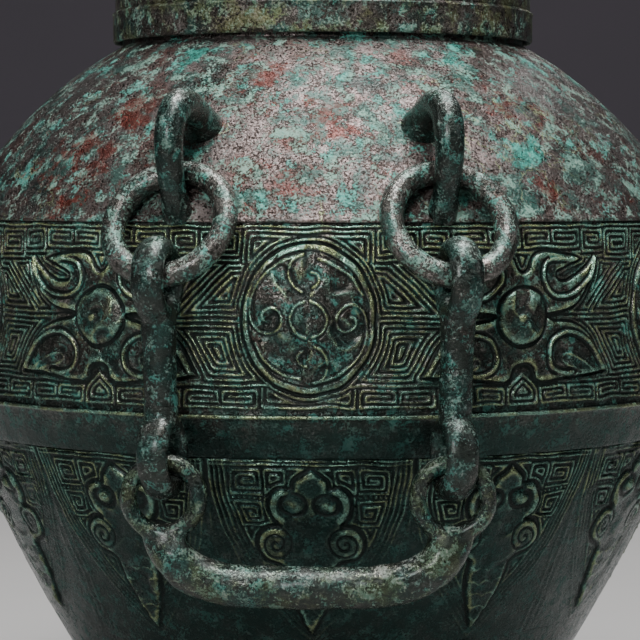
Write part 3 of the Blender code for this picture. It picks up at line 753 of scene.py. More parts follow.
class Recipe:
    """A material whose nodes are added by name, on the piece's own coordinates in metres."""

    def __init__(self, name):
        self.material = bpy.data.materials.new(name)
        self.material.use_nodes = True
        self.nodes = self.material.node_tree.nodes
        self.links = self.material.node_tree.links
        self.shader = self.nodes["Principled BSDF"]
        self.place = self.node("ShaderNodeTexCoord", {}, {}).outputs["Object"]

    def node(self, kind, settings, values):
        """Any node: its settings are made first, then the values or links of its sockets."""
        made = self.nodes.new(kind)
        for key, value in settings.items():
            setattr(made, key, value)
        for key, value in values.items():
            self.feed(made.inputs[key], value)
        return made

    def feed(self, socket, value):
        """Link a socket or set its value."""
        if isinstance(value, Amount):
            value = value.socket
        if isinstance(value, bpy.types.NodeSocket):
            self.links.new(value, socket)
        elif isinstance(value, (tuple, list)) and len(value) == 3 and socket.type == "RGBA":
            socket.default_value = (*value, 1)
        else:
            socket.default_value = value

    def noise(self, size, detail=5.0, rough=0.6, seed=0.0, warp=0.0):
        """Cloudy noise whose largest forms are about size metres."""
        shift = {0: self.place, 1: (seed, 1.7 * seed, -seed)}
        place = self.node("ShaderNodeVectorMath", {"operation": "ADD"}, shift).outputs[0]
        values = {"Vector": place, "Scale": 1 / size, "Detail": detail, "Roughness": rough, "Distortion": warp}
        return Amount(self, self.node("ShaderNodeTexNoise", {}, values).outputs["Fac"])

    def attribute(self, name):
        """A number kept on the piece's points."""
        return Amount(self, self.node("ShaderNodeAttribute", {"attribute_name": name}, {}).outputs["Fac"])

    def part(self, axis):
        """One coordinate of the place in metres."""
        return Amount(self, self.node("ShaderNodeSeparateXYZ", {}, {0: self.place}).outputs[axis])

    def facing_up(self):
        """How far the surface faces up: the height of its normal."""
        normal = self.node("ShaderNodeTexCoord", {}, {}).outputs["Normal"]
        return Amount(self, self.node("ShaderNodeSeparateXYZ", {}, {0: normal}).outputs["Z"])

    def near(self, point, reach):
        """1 at a point, falling to 0 at reach from it."""
        node = self.node("ShaderNodeVectorMath", {"operation": "DISTANCE"}, {0: self.place, 1: tuple(point)})
        return 1 - Amount(self, node.outputs["Value"]).step(0.0, reach)

    def mix(self, under, over, share):
        """One colour laid over another by a share."""
        made = self.nodes.new("ShaderNodeMix")
        made.data_type = "RGBA"
        for socket, value in ((made.inputs[0], share), (made.inputs[6], under), (made.inputs[7], over)):
            self.feed(socket, value)
        return made.outputs[2]

    def finish(self, colour, roughness, metallic, bump, depth):
        """Join the finish to the shader and return the material."""
        node = self.node("ShaderNodeBump", {}, {"Height": bump, "Distance": depth, "Strength": 1.0})
        values = {"Base Color": colour, "Roughness": roughness, "Metallic": metallic, "Normal": node.outputs["Normal"]}
        for name, value in values.items():
            self.feed(self.shader.inputs[name], value)
        return self.material


def colours():
    """The patina's colours as plain tuples."""
    group = bpy.context.scene.jar_patina
    return {name: tuple(getattr(group, name)) for name in PatinaColours.__annotations__}


def patina(name, seed, look, tint=None):
    """Bronze under its corrosion, layer over layer. The look gives the share that each layer covers.

    Each layer has its own clouds, whose edges are frayed by the same fine flecks and grain.
    """
    c, r = colours(), Recipe(name)
    size = look["size"]
    cloud = r.noise(0.022 * size, 5, 0.65, seed + 3.1, 0.3)
    fleck = r.noise(0.0058, 5, 0.72, seed + 5.7)
    grain = r.noise(0.0010, 2, 0.75, seed + 8.3)
    frayed = (fleck - 0.5) * 0.75 + (grain - 0.5) * 0.50
    cavity = r.attribute("cavity")
    # hollow marks recesses, which go very dark green: partly the patina in them, partly painted shade
    hollow = (cavity * -1).step(0.05, 0.60)
    # crest marks raised edges, which go pale: partly powdery patina, partly a painted highlight
    crest = cavity.step(0.10, 0.80)

    bare = (cloud * 0.5 + fleck * 0.5 + (grain - 0.5) * 0.9).over(look["metal"], 0.12)
    tone = r.mix(c["brown"], c["metal"], bare)
    mottle = (fleck + (grain - 0.5) * 0.7).step(0.40, 0.60)
    pale = r.mix(c["green"], c["mint"], 0.25 + 0.75 * mottle)
    bright = r.mix(c["green"], c["turquoise"], 0.35 + 0.65 * mottle)
    masks = {}
    for layer, over, patch, strength, soft in (
        ("dark", c["dark_green"], 0.021, 0.80, 0.06),
        ("red", c["cuprite"], 0.032, 0.70, 0.05),
        ("green", c["green"], 0.015, 0.80, 0.06),
        ("mint", pale, 0.0090, 0.75, 0.06),
        ("turquoise", bright, 0.0110, 0.80, 0.05),
        ("ochre", c["ochre"], 0.018, 0.55, 0.06),
    ):
        if share := look[layer]:
            clouds = r.noise(patch * size, 4, 0.6, seed + 100 * patch + 7 * share) + frayed
            masks[layer] = clouds.over(share, soft) * (strength * look["bold"])
            tone = r.mix(tone, over, masks[layer])
    if look["veins"]:
        thread = 1 - abs(r.noise(0.030, 5, 0.6, seed + 31.0, 0.6) - 0.5).step(0.0, 0.010)
        strayed = r.noise(0.050, 2, 0.5, seed + 33.0).over(look["veins"], 0.05)
        tone = r.mix(tone, c["cream"], thread * strayed * 0.7)
    tone = r.mix(r.mix(tone, c["green"], look["glaze"]), c["dark_green"], look["deep"])
    # upward-facing tops get paler metal and more bright specks: partly wear, partly a painted highlight of the light
    # from above
    worn = r.facing_up().step(0.35, 1.0) * look["worn"]
    rubbed_and_highlight = r.mix(c["salt"], c["mint"], cloud.step(0.40, 0.60))
    tone = r.mix(tone, rubbed_and_highlight, worn * (0.08 + 0.26 * (fleck * 0.5 + grain * 0.5).step(0.42, 0.58)))
    speck = (grain + (fleck - 0.5) * 0.6 + worn * 0.05).over(look["salt"], 0.06)
    tone = r.mix(tone, c["salt"], speck * (0.22 + worn * 0.20))
    pit = (1 - grain + (0.5 - fleck) * 0.7).over(look["pepper"], 0.08)
    tone = r.mix(tone, c["black"], pit * 0.32)
    if tint:
        tone, crest = tint(r, c, tone, cloud, crest, bright)
    # raised edges go pale: partly powdery patina, partly a painted highlight where the light catches them
    dust_and_highlight = r.mix(c["mint"], c["cream"], cloud.step(0.42, 0.58))
    tone = r.mix(tone, dust_and_highlight, crest * (0.42 + 0.38 * (fleck + (grain - 0.5) * 0.9).step(0.38, 0.58)))
    # painted shade in the hollows, over the dark patina that gathers there
    tone = r.mix(tone, c["black"], hollow * 0.92)

    mint, turquoise = masks["mint"], masks["turquoise"]
    grown = masks["green"] * 0.5 + mint * 0.8 + turquoise * 0.7 + masks["red"] * 0.4 + hollow * 0.6
    grown = grown.step(0.0, 1.0)
    roughness = look["rough"] + grown * 0.30 + (grain - 0.5) * 0.5 + (fleck - 0.5) * 0.3
    roughness = roughness - crest * 0.04 - worn * 0.04
    metallic = 0.85 - grown * 0.60 - masks["dark"] * 0.10
    bump = grain * 0.35 + fleck * 0.9 + cloud * 0.8 + mint * 0.25 + turquoise * 0.30 - pit * 0.25
    r.shader.inputs["Coat Weight"].default_value = look["coat"]
    r.shader.inputs["Coat Roughness"].default_value = COAT_ROUGHNESS
    r.shader.inputs["Specular IOR Level"].default_value = look["gloss"]
    return r.finish(tone, roughness, metallic, bump, look["bump"])


def shoulder_tint(r, c, tone, cloud, crest, bright):
    """The shoulder is palest between the front loops and darker at the sides, with red and bright places."""
    # painted shade: dark green laid over the shoulder away from its lit front middle
    away = 1 - r.near(PAINTED_LIGHT_PLACE, 0.150)
    tone = r.mix(tone, c["dark_green"], away * (0.26 + 0.30 * cloud.step(0.4, 0.6)))
    fray = r.noise(0.0120, 6, 0.75, 41.0)
    for point, reach in RED_PLACES:
        tone = r.mix(tone, c["cuprite"], (fray + r.near(point, reach) * 0.16).over(0.06, 0.05) * 0.72)
    for point, reach in BRIGHT_PLACES:
        tone = r.mix(tone, bright, (fray + r.near(point, reach) * 0.19).over(0.03, 0.05) * 0.85)
    return tone, crest


def relief_tint(r, c, tone, cloud, crest, bright):
    """The relief is darker than the shoulder, and darker again with fewer pale edges on the band and below it."""
    low = 1 - r.part("Z").step(0.158, 0.178)
    high = r.part("Z").step(0.190, 0.256)
    # painted light from above: darker low down, lighter with brighter pale edges near the top
    tone = r.mix(tone, c["dark_green"], 0.50 - high * 0.34 + low * 0.36)
    return tone, crest * (0.66 + high * 1.20 - low * 0.10)


# Where the shoulder is left lightest, with painted shade laid away from it, and where it has patches: each place with
# its reach, in metres
PAINTED_LIGHT_PLACE = (0.012, -0.140, 0.280)
RED_PLACES = (
    ((-0.092, -0.116, 0.269), 0.046),
    ((-0.101, -0.126, 0.249), 0.024),
    ((-0.070, -0.110, 0.289), 0.026),
    ((0.009, -0.136, 0.283), 0.026),
    ((-0.021, -0.114, 0.302), 0.020),
    ((0.093, -0.126, 0.257), 0.020),
    ((0.077, -0.104, 0.290), 0.026),
    ((0.080, 0.115, 0.275), 0.045),
    ((-0.040, 0.130, 0.285), 0.030),
)
BRIGHT_PLACES = (
    ((-0.064, -0.102, 0.299), 0.013),
    ((-0.052, -0.092, 0.310), 0.020),
    ((0.082, -0.119, 0.273), 0.024),
    ((0.055, -0.085, 0.315), 0.024),
    ((-0.030, 0.120, 0.295), 0.025),
)
COAT_ROUGHNESS = 0.24
BARE = dict(
    size=1.0, deep=0.0, ochre=0, veins=0, worn=0, salt=0.12, pepper=0.16,
    glaze=0, coat=0.05, gloss=0.5, bold=1.0, rough=0.34, bump=0.0007,
)
# worn is how much upward-facing tops are paled: partly wear, partly a painted highlight
CHAIN = BARE | dict(
    worn=1.0, size=0.6, bold=0.82, rough=0.16, bump=0.0005, salt=0.05, pepper=0.24,
    glaze=0.20, coat=0.25
)
LOOKS = {
    "shoulder": (0.0, BARE | dict(
        metal=0.58, dark=0.24, red=0.17, green=0.26, mint=0.14, turquoise=0.07, veins=0.26
    )),
    "relief": (1.3, BARE | dict(
        metal=0.32, dark=0.32, red=0.13, green=0.34, mint=0.05, turquoise=0.12, salt=0.05,
        glaze=0.12, coat=0.04, gloss=0.25, size=0.55, bold=0.64, rough=0.20, bump=0.0004
    )),
    "lid": (2.6, BARE | dict(
        metal=0.35, dark=0.35, red=0.04, green=0.36, mint=0.10, turquoise=0.05,
        ochre=0.32, glaze=0.12, deep=0.12, bold=0.80, size=0.8
    )),
    "ring": (3.9, CHAIN | dict(
        metal=0.50, dark=0.32, red=0.06, green=0.28, mint=0.15, turquoise=0.06, deep=0.04
    )),
    "link": (4.4, CHAIN | dict(
        metal=0.20, dark=0.42, red=0.15, green=0.32, mint=0.07, turquoise=0.10, deep=0.56
    )),
    "bail": (6.5, CHAIN | dict(
        metal=0.22, dark=0.40, red=0.04, green=0.36, mint=0.13, turquoise=0.13,
        ochre=0.42, deep=0.54
    )),
}
TINTS = {"shoulder": shoulder_tint, "relief": relief_tint}


@cache
def finish_of(name):
    """The material of a part of the object, made once."""
    seed, look = LOOKS[name]
    return patina(f"{name}_bronze", seed, look, TINTS.get(name))


# Pieces


def build_frieze(context):
    """Six parts of the frieze, the three front ones with the finest points. Their joins are behind the links."""
    sizes, relief = context.scene.jar_wall, context.scene.jar_relief
    wall = Wall(sizes)
    wander, worn = ((0.018, 0.09, 21), (0.014, 0.20, 22)), (0.30, 0.012, 23)
    fine = relief.fine_step * 1.08
    for name, start, end, step in (
        ("front", -20.5, 20.5, relief.fine_step),
        ("front_right", 20.5, 65, fine),
        ("right", 65, 135, relief.side_step),
        ("back", 135, 225, relief.back_step),
        ("left", 225, 295, relief.side_step),
        ("front_left", 295, 339.5, fine),
    ):
        span = (start, end, math.radians(end - start) * sizes.belly_radius)
        rows = (sizes.belly_height, wall.frieze_top)
        pattern = partial(frieze_relief, wall_sizes=sizes, relief=relief)
        hand_in_relief(f"jar_frieze_{name}", wall, span, rows, step, pattern, wander, worn, 3)


def build_blades(context):
    """Four quarters of the wall with the hanging blades."""
    sizes, relief = context.scene.jar_wall, context.scene.jar_relief
    wall = Wall(sizes)
    wander, worn = ((0.020, 0.11, 25), (0.016, 0.25, 26)), (0.35, 0.013, 24)
    narrower = 0.93
    for name, middle, step in (
        ("front", 0, relief.fine_step * 1.45),
        ("right", 90, relief.side_step * 1.35),
        ("back", 180, relief.back_step * 1.3),
        ("left", 270, relief.side_step * 1.35),
    ):
        span = (middle - 45, middle + 45, math.radians(90) * sizes.belly_radius * narrower)
        rows = (wall.band_foot - relief.blade_length, wall.band_foot)
        pattern = partial(blade_relief, wall=wall, relief=relief)
        hand_in_relief(f"jar_blades_{name}", wall, span, rows, step, pattern, wander, worn, 10)


def cast_shoulder(wall, sizes):
    """The shoulder with the neck: a rounded lip over the frieze, and a rim that the lid hides."""
    top, neck, ground = wall.frieze_top, wall.neck_foot, sizes.ground_depth
    heights = np.concatenate(
        [top + np.array([0, 0.0003, 0.0008]), wall.rows(top + 0.0016, neck, 0.0019)]
        + [neck + np.array([0.002, 0.008, 0.016, 0.024]), [wall.rim - 0.0006, wall.rim]]
    )
    lift = np.full(len(heights), ground)
    lift[:4] = ground + np.array([0.0, 0.00045, 0.0006, 0.0004])
    lift[-1] = ground - 0.0006
    worn = np.zeros(len(heights))
    # painted shadow: the row in the crease under the lip goes dark; the lip's edge goes a little pale, partly powdery
    # patina and partly a painted highlight
    worn[:2] = -0.6, 0.3
    hand_in(turned_shell("jar_shoulder", wall, heights, lift, 360, worn), "shoulder")


def cast_band(wall, sizes):
    """The plain band, with a worn roll along its upper edge."""
    foot, top, ground = wall.band_foot, sizes.belly_height, sizes.ground_depth
    heights = np.concatenate(
        [foot + np.array([0, 0.0004, 0.0011]), np.linspace(foot + 0.002, top - 0.0026, 9)]
        + [top - np.array([0.0019, 0.0013, 0.0008, 0.0003, 0.0])]
    )
    lift = np.full(len(heights), ground)
    lift[:2] = ground - np.array([0.0005, 0.0001])
    lift[-5:] = ground + np.array([0.0002, 0.0007, 0.0009, 0.0006, 0.0])
    worn = np.zeros(len(heights))
    # painted shade: a dark line in the crease at the band's foot
    worn[:2] = -0.8, 0.1
    # the roll along the top goes pale: partly powdery patina, partly a painted highlight
    worn[-4:-1] = 0.5, 0.95, 0.8
    hand_in(turned_shell("jar_band", wall, heights, lift, 400, worn), "relief")


def cast_foot(wall, sizes, low):
    """The plain wall below the blades with the ring foot and the jar's floor, turned about the axis."""
    curve = wall.lower[(wall.lower[:, 1] < low - 0.001)][::6]
    heights = np.append(curve[:, 1], low)
    radius, out, up = wall.at(heights)
    outer, inner = (
        np.stack([radius - out * depth, heights - up * depth], axis=1)
        for depth in (sizes.ground_depth, sizes.thickness)
    )
    inner[-1, 1] = low
    ring, recess, tall = sizes.foot_radius, sizes.foot_recess, sizes.foot_height
    hollow = ring - sizes.foot_width
    under = [(AXIS, recess), (0.04, recess), (hollow - 0.001, recess), (hollow, recess - 0.001)]
    under += [(hollow, 0.0006), (hollow + 0.0006, 0), (ring - 0.0008, 0), (ring, 0.0008)]
    under += [(ring, tall * 0.6), (ring - 0.0008, tall * 0.85)]
    profile = np.vstack([under, outer[1:], inner[::-1], [(0.04, inner[0, 1]), (AXIS, inner[0, 1])]])
    angle = np.arange(240) * 360 / 240
    points = polar(angle[None, :], profile[:, :1], profile[:, 1:])
    outside = slice(len(under), len(under) + len(outer) - 1)
    points[outside] += polar(angle[None, :], cast_skin(points[outside]) * MM, np.zeros((1, 1)))
    hand_in(wrapped("jar_foot", points, closed_path=False), "relief")


def build_plain_walls(context):
    """The shoulder with the neck, the plain band, and the foot with the jar's floor."""
    sizes = context.scene.jar_wall
    wall = Wall(sizes)
    cast_shoulder(wall, sizes)
    cast_band(wall, sizes)
    cast_foot(wall, sizes, wall.band_foot - context.scene.jar_relief.blade_length)


class Hang:
    """Where the rings, links and bails hang, worked out as the solids are."""

    def __init__(self, scene):
        wall_sizes, self.wall = scene.jar_wall, Wall(scene.jar_wall)
        size = self.sizes = scene.jar_chain
        path = self.loop_path(200)
        rest = size.ring_wire / 2 + size.hang_gap
        heights = np.linspace(self.wall.frieze_top + size.loop_foot, self.wall.frieze_top + size.loop_top, 400)
        radius, out, up = self.wall.at(heights)
        places = np.stack([radius + out * rest, heights + up * rest], axis=1)
        spare = np.linalg.norm(places[:, None] - path, axis=2) - self.loop_half(np.linspace(0, 1, len(path)))
        self.top = places[np.argmax(spare[:, 20:-4].min(axis=1) > rest)]
        span = size.ring_diameter - size.ring_wire
        belly = wall_sizes.belly_radius
        lean_for_link = math.asin((belly + size.link_clearance + size.eye_depth / 2 - self.top[0]) / span)
        edge = np.array([belly - wall_sizes.frieze_taper, self.wall.frieze_top]) - self.top
        lean_for_ring = math.atan2(edge[0], -edge[1]) + math.asin(rest / math.hypot(*edge))
        self.lean = max(lean_for_link, lean_for_ring)
        self.reach = self.top[0] + span * math.sin(self.lean)
        self.low = self.top[1] - span * math.cos(self.lean)
        self.link_top = self.low + size.ring_wire / 2 + size.hang_gap + size.ring_rise + size.link_end

    def loop_path(self, steps):
        """The centre line of a loop in its upright plane: a cubic Bezier curve between its feet."""
        size, feet = self.sizes, []
        for height in (self.wall.frieze_top + size.loop_top, self.wall.frieze_top + size.loop_foot):
            feet.append(np.array([self.wall.at(height)[0], height]))
        chord = feet[1] - feet[0]
        out = np.array([-chord[1], chord[0]]) / np.hypot(*chord)
        sink, rise_by = -size.loop_sink, size.loop_rise
        controls = [(0, sink), (-0.08, rise_by * 1.28), (0.6, rise_by * 1.52), (1, sink)]
        points = [feet[0] + chord * share + out * rise_out for share, rise_out in controls]
        t = np.linspace(0, 1, steps)[:, None]
        weights = [(1 - t) ** 3, 3 * (1 - t) ** 2 * t, 3 * (1 - t) * t**2, t**3]
        return sum(weight * point for weight, point in zip(weights, points))

    def loop_half(self, share):
        """Half the loop's thickness at a share of the way down it."""
        return self.sizes.loop_diameter / 2 * (1.08 - 0.38 * share**3)

    def handles(self):
        """Each loop's name, angle, side and the way it faces."""
        for end, facing in ENDS:
            for side_name, side in SIDES:
                angle = side * self.sizes.handle_angle + (0 if facing == 1 else 180)
                yield f"{end}_{side_name}", angle, side, facing


def eye_ring(name, centre, side, upright, across, outer, inner, width, segments=72, sides=24):
    """A ring between an outer and an inner ellipse: its section's middle runs halfway between the two."""
    angle = np.linspace(0, 2 * np.pi, segments, endpoint=False)[:, None]
    rims = [np.cos(angle) * side * half[0] + np.sin(angle) * upright * half[1] for half in (outer, inner)]
    wide = np.tile(across * width / 2, (segments, 1))
    return tube(name, centre + (rims[0] + rims[1]) / 2, (rims[0] - rims[1]) / 2, wide, sides, closed=True)


EYE_REACH = 0.018


def cast_together(name, parts, eyes, voxel, swell, dents, seed):
    """One casting out of overlapping parts: their union, remeshed evenly, relaxed and gently dented.

    Relaxing rounds the joins and thins the bars, so each point then moves out by swell. Bulges are held to half
    the dents' depth, as limit · tanh(bulge / limit), and the eyes move a quarter as far, so that pieces that hang in
    each other stay clear.
    """
    base, extras = parts[0], parts[1:]
    for extra in extras:
        union = base.modifiers.new("union", "BOOLEAN")
        union.operation, union.solver, union.object = "UNION", "MANIFOLD", extra
    even = base.modifiers.new("even", "REMESH")
    even.mode, even.voxel_size = "VOXEL", voxel
    relaxed = base.modifiers.new("relaxed", "SMOOTH")
    relaxed.factor, relaxed.iterations = 0.5, 6
    graph = bpy.context.evaluated_depsgraph_get()
    mesh = bpy.data.meshes.new_from_object(base.evaluated_get(graph))
    for part in parts:
        bpy.data.objects.remove(part)
    count = len(mesh.vertices)
    points, normals = np.zeros(count * 3, np.float32), np.zeros(count * 3, np.float32)
    mesh.vertices.foreach_get("co", points)
    mesh.vertices.foreach_get("normal", normals)
    points, normals = points.reshape(-1, 3).astype(float), normals.reshape(-1, 3)
    lumps = ((0.024, dents), (0.009, dents * 0.45), (0.0035, dents * 0.16))
    dent = sum(uneven(points, size, depth, seed + count) for count, (size, depth) in enumerate(lumps))
    limit = dents / 2
    dent = np.where(dent > 0, limit * np.tanh(dent / limit), dent)
    to_eye = np.min([np.linalg.norm(points - eye, axis=1) for eye in eyes], axis=0)
    at_eye = np.exp(-((to_eye / EYE_REACH) ** 8))
    points += normals * ((swell + dent) * (1 - 0.75 * at_eye))[:, None]
    mesh.vertices.foreach_set("co", points.astype(np.float32).ravel())
    mesh.update()
    return placed(name, mesh, 70)


def build_loops(context):
    """The four stout loops on the shoulder."""
    hang, steps = Hang(context.scene), 64
    for count, (name, angle, _, _) in enumerate(hang.handles()):
        path = hang.loop_path(steps)
        along = np.gradient(path, axis=0)
        along /= np.hypot(along[:, 0], along[:, 1])[:, None]
        share = np.linspace(0, 1, steps)
        half = hang.loop_half(share) * (1 + 0.03 * np.sin(9 * share + count))
        half = half + 0.0022 * np.exp(-((share / 0.07) ** 2)) + 0.0018 * np.exp(-(((1 - share) / 0.07) ** 2))
        centres = polar(angle, path[:, 0], path[:, 1])
        level = np.zeros(steps)
        thick = (polar(angle, along[:, 1], level) - along[:, :1] * np.array([0, 0, 1])) * half[:, None]
        wide = polar(angle + 90, half, level)
        hand_in(tube(f"jar_loop_{name}", centres, thick, wide, 32), "link")


def build_rings(context):
    """The four plain rings, each with a closed cut where its ends were joined."""
    hang = Hang(context.scene)
    size = hang.sizes
    half = (size.ring_diameter - size.ring_wire) / 2
    for count, (name, angle, _, _) in enumerate(hang.handles()):
        centre = polar(angle, hang.top[0] + half * math.sin(hang.lean), hang.top[1] - half * math.cos(hang.lean))
        upright = polar(angle, -math.sin(hang.lean), math.cos(hang.lean))
        across = polar(angle, math.cos(hang.lean), math.sin(hang.lean))
        turn = np.linspace(0, 2 * np.pi, 144, endpoint=False)[:, None]
        out = np.cos(turn) * polar(angle + 90, 1, 0) + np.sin(turn) * upright
        wire = size.ring_wire / 2 * (1 + 0.025 * np.sin(3 * turn + count) + 0.02 * np.sin(7 * turn + 2 * count))
        wire -= 0.0006 * np.exp(-(((turn - 0.95) / 0.035) ** 2))
        piece = tube(f"{name}_ring_cast", centre + out * half, out * wire, across * wire, 28, closed=True)
        hand_in(piece, "ring", f"{name}_ring")


def build_links(context):
    """The four long links: an eye at each end of a stout shank."""
    hang = Hang(context.scene)
    size = hang.sizes
    for count, (name, angle, side, facing) in enumerate(hang.handles()):
        start = polar(angle, hang.reach, hang.link_top)
        end = np.array([facing * side * size.bail_spacing / 2, start[1], start[2] - size.link_length])
        down = (end - start) / np.linalg.norm(end - start)
        wide = np.cross(down, polar(angle, 1, 0))
        wide /= np.linalg.norm(wide)
        deep = np.cross(wide, down)
        outer = (size.eye_depth / 2, size.eye_height / 2)
        inner = (outer[0] - size.link_side, outer[1] - size.link_end)
        middles = [start + down * size.eye_height / 2, start + down * (size.link_length - size.eye_height / 2)]
        parts = [eye_ring("eye", middle, deep, -down, wide, outer, inner, size.link_width) for middle in middles]
        reach = size.eye_height - size.link_end * 0.6
        share = np.linspace(0, 1, 24)[:, None]
        half = size.link_shank / 2 * (1.02 + 0.08 * (2 * share - 1) ** 2 + 0.035 * np.sin(11 * share + count))
        centres = start + down * (reach + (size.link_length - 2 * reach) * share)
        shank = tube("shank", centres, deep * half, wide * half, 24)
        piece = cast_together(f"{name}_link_cast", [shank, *parts], middles, size.voxel, 0.00040, 0.00024, 40 + count)
        hand_in(piece, "link", f"{name}_link")


def build_bails(context):
    """The two carrying handles: a bar bent to a shallow square-cornered U, with an eye at each end."""
    hang = Hang(context.scene)
    size = hang.sizes
    for count, (end_name, facing) in enumerate(ENDS):
        depth = -facing * hang.reach * math.cos(math.radians(size.handle_angle))
        floor = hang.link_top - size.link_length + size.link_end
        height = floor + size.hang_gap + size.eye_rise + size.bail_eye_wire - size.bail_eye / 2
        side, upright, across = np.eye(3)[[0, 2, 1]]
        outer = (size.bail_eye / 2, size.bail_eye / 2)
        inner = (outer[0] - size.bail_eye_wire, outer[1] - size.bail_eye_wire)
        width = size.bail_eye_wire * 1.20
        places = [np.array([hand * size.bail_spacing / 2, depth, height]) for hand in (-1, 1)]
        eyes = [eye_ring("eye", place, side, upright, across, outer, inner, width) for place in places]
        inward = size.bail_eye / 2 - size.bail_eye_wire * 0.55
        start = math.asin((inward / size.bail_drop) ** (size.bail_squareness / 2))
        t = np.linspace(start, math.pi - start, 120)
        power = 2 / size.bail_squareness
        x = -np.sign(np.cos(t)) * np.abs(np.cos(t)) ** power * size.bail_spacing / 2
        z = height - np.abs(np.sin(t)) ** power * size.bail_drop
        path = np.stack([x, np.full(len(t), depth), z], axis=1)
        along = np.gradient(path, axis=0)
        along /= np.linalg.norm(along, axis=1)[:, None]
        half = (size.bail_neck + (size.bail_bar * 1.02 - size.bail_neck) * np.sin(t)[:, None] ** 0.7) / 2
        flare = np.exp(-(((height - inward - z) / 0.006) ** 2))[:, None]
        in_plane, deep = half * (1 + 0.22 * flare), half * (1 - 0.42 * flare)
        bar = tube("bar", path, np.cross(along, across) * in_plane, across * deep, 32)
        piece = cast_together(f"{end_name}_bail_cast", [bar, *eyes], places, size.voxel, 0.00052, 0.00022, 60 + count)
        hand_in(piece, "bail", f"{end_name}_bail")


def build_lid(context):
    """The lid: a skirt with a plain lower band, a low dome and a plain knob, turned about the axis."""
    lid, sizes = context.scene.jar_lid, context.scene.jar_wall
    wall = Wall(sizes)
    inner = sizes.neck_radius + lid.clearance
    outer = inner + lid.thickness
    seat = wall.rim + lid.seat_gap
    foot = seat - lid.skirt_drop
    side_top = seat + lid.side_rise
    crown = side_top + lid.edge
    stem = crown + lid.dome
    edge = outer - lid.skirt_step
    disc = stem + lid.stem_height
    knob_top = disc + lid.knob_thickness
    knob, thick = lid.knob_radius, lid.knob_thickness
    handle = smooth_line(
        [(AXIS, knob_top), (knob * 0.5, knob_top - 0.0004), (knob * 0.9, disc + thick * 0.66)]
        + [(knob, disc + thick * 0.34), (knob * 0.88, disc + 0.0002)]
        + [(lid.stem_radius * 0.90, stem + lid.stem_height * 0.62), (lid.stem_radius, stem)],
        6,
    )
    dome = arc((edge - lid.edge, crown), (lid.stem_radius + 0.002, stem - 0.0002), lid.dome * 0.35, 40)[::-1]
    dome[:, 1] += 0.00045 * (ridge(dome[:, 0] - 0.034, 0.0006) + ridge(dome[:, 0] - 0.064, 0.0006))
    turn = np.radians(np.linspace(75, 15, 6))
    rounded = np.stack([edge - lid.edge + lid.edge * np.cos(turn), crown - lid.edge + lid.edge * np.sin(turn)], axis=1)
    step = foot + lid.skirt_band
    side = [(edge, side_top), (edge, step + 0.0050), (edge, step + 0.0012)]
    side += [(edge - 0.0004, step + 0.0006), (edge, step + 0.0001)]
    side += [(outer - 0.0002, step - 0.0003), (outer + 0.0004, step - 0.0010), (outer, step - 0.0019)]
    side += [(outer, h) for h in np.linspace(step - 0.0035, foot + 0.0016, 5)]
    side += [(outer, foot + 0.0008), (outer - 0.0006, foot), (inner + 0.0006, foot)]
    side += [(inner, foot + 0.0006), (inner, seat)]
    ceiling = arc((inner - lid.seat_width, side_top), (AXIS, stem - lid.thickness), lid.dome * 0.25, 12)
    profile = np.vstack([handle, dome, rounded, side, [(inner - lid.seat_width, seat)], ceiling])
    angle = np.arange(300) * 360 / 300
    points = polar(angle[None, :], profile[:, :1], profile[:, 1:])
    cast = uneven(points.reshape(-1, 3), 0.030, 0.08 * MM, 31).reshape(points.shape[:2])
    points[..., 2] += cast * (profile[:, :1] < inner)
    hand_in(wrapped("lid_cast", points, closed_path=False, sharp=48), "lid", "lid")


def build_stage(context):
    """A pale floor and a grey sheet far behind, soft lights, and a camera at the photograph's viewing angle."""
    stage, c = context.scene.jar_stage, colours()
    reach, behind = 4, 3.2
    for name, corners, tone in (
        ("floor", [(-reach, -reach, 0), (reach, -reach, 0), (reach, reach, 0), (-reach, reach, 0)], c["floor"]),
        ("backdrop", [(-reach, behind, 0), (reach, behind, 0), (reach, behind, 4), (-reach, behind, 4)], c["backdrop"]),
    ):
        mesh = bpy.data.meshes.new(name)
        mesh.from_pydata(corners, [], [(0, 1, 2, 3)])
        sheet = placed(name, mesh, 60)
        paper = Recipe(f"{name}_paper")
        grain = paper.noise(0.12, 4, 0.5)
        shade = paper.mix(tone, tuple(0.93 * part for part in tone), grain)
        sheet.data.materials.append(paper.finish(shade, 0.9, 0.0, grain, 0.0002))

    target = Vector((0, 0, 0.22))
    for name, place, size, power in (
        ("key", (0.13, -0.10, 1.25), 0.60, stage.key_power),
        ("front", (0.10, -0.72, 1.35), 0.40, stage.front_power),
        ("near", (-0.30, -1.15, 0.62), 0.24, stage.near_power),
        ("right", (1.15, -0.45, 0.75), 0.50, stage.fill_power),
        ("left", (-1.15, -0.45, 0.75), 0.50, stage.fill_power),
        ("behind", (0.10, 1.05, 1.15), 0.60, stage.front_power),
    ):
        data = bpy.data.lights.new(name, "AREA")
        data.shape, data.size, data.energy = "SQUARE", size, power
        light = bpy.data.objects.new(name, data)
        light.location = place
        light.rotation_euler = (target - Vector(place)).to_track_quat("-Z", "Y").to_euler()
        context.scene.collection.objects.link(light)
    world = bpy.data.worlds.new("room")
    world.use_nodes = True
    background = world.node_tree.nodes["Background"]
    background.inputs["Color"].default_value = (0.86, 0.92, 1.0, 1)
    background.inputs["Strength"].default_value = stage.room
    context.scene.world = world

    data = bpy.data.cameras.new("camera")
    data.sensor_width, data.lens = 36.0, stage.lens
    camera = bpy.data.objects.new("camera", data)
    azimuth = math.radians(stage.azimuth)
    camera.location = (stage.distance * math.sin(azimuth), -stage.distance * math.cos(azimuth), stage.height)
    camera.rotation_euler = Euler((math.radians(90 - stage.pitch), 0, azimuth + math.radians(stage.aside)))
    context.scene.collection.objects.link(camera)
    context.scene.camera = camera


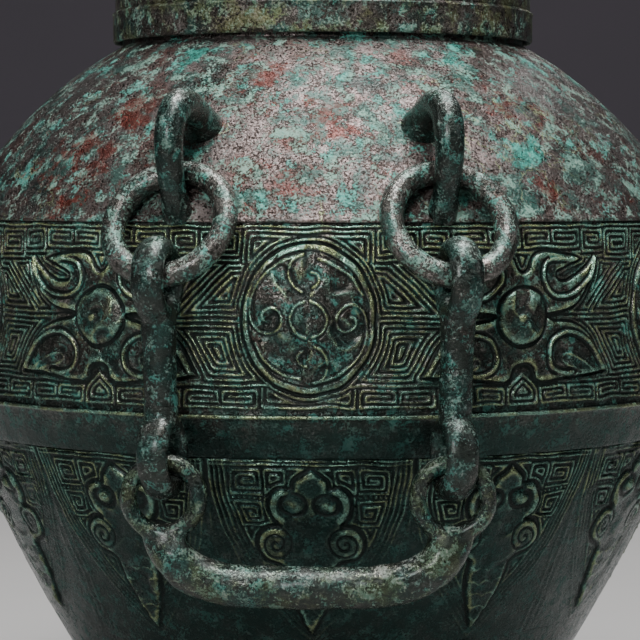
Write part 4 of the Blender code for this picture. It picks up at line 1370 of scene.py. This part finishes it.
def operator(idname, label, build):
    """An operator class that runs one builder."""

    def execute(self, context):
        build(context)
        return {"FINISHED"}

    members = {
        "__doc__": build.__doc__.split("\n")[0],
        "bl_idname": f"bronze_jar.{idname}",
        "bl_label": label,
        "bl_options": {"REGISTER", "UNDO"},
        "execute": execute,
    }
    return type(f"BRONZE_JAR_OT_{idname}", (bpy.types.Operator,), members)


OPERATORS = [
    operator("frieze", "Cast the frieze", build_frieze),
    operator("blades", "Cast the blades", build_blades),
    operator("plain_walls", "Cast the plain walls", build_plain_walls),
    operator("loops", "Cast the loops", build_loops),
    operator("rings", "Cast the rings", build_rings),
    operator("links", "Cast the links", build_links),
    operator("bails", "Cast the bails", build_bails),
    operator("lid", "Cast the lid", build_lid),
    operator("stage", "Set the stage", build_stage),
]


class BRONZE_JAR_PT_panel(bpy.types.Panel):
    """Lists the jar's pieces in the sidebar."""

    bl_label = "Bronze jar"
    bl_idname = "BRONZE_JAR_PT_panel"
    bl_space_type = "VIEW_3D"
    bl_region_type = "UI"
    bl_category = "Jar"

    def draw(self, context):
        for made in OPERATORS:
            self.layout.operator(made.bl_idname)


GROUPS = {
    "jar_wall": WallSizes,
    "jar_relief": ReliefSizes,
    "jar_chain": ChainSizes,
    "jar_lid": LidSizes,
    "jar_patina": PatinaColours,
    "jar_stage": StageSizes,
}


def register():
    for group in GROUPS.values():
        bpy.utils.register_class(group)
    for name, group in GROUPS.items():
        setattr(bpy.types.Scene, name, bpy.props.PointerProperty(type=group))
    for made in (*OPERATORS, BRONZE_JAR_PT_panel):
        bpy.utils.register_class(made)


def unregister():
    for made in (BRONZE_JAR_PT_panel, *reversed(OPERATORS)):
        bpy.utils.unregister_class(made)
    for name, group in reversed(GROUPS.items()):
        delattr(bpy.types.Scene, name)
        bpy.utils.unregister_class(group)


def main():
    """Register the classes, make every piece and write the two boxes."""
    register()
    for made in OPERATORS:
        name = made.bl_idname.split(".")[1]
        getattr(bpy.ops.bronze_jar, name)()


if __name__ == "__main__":
    main()
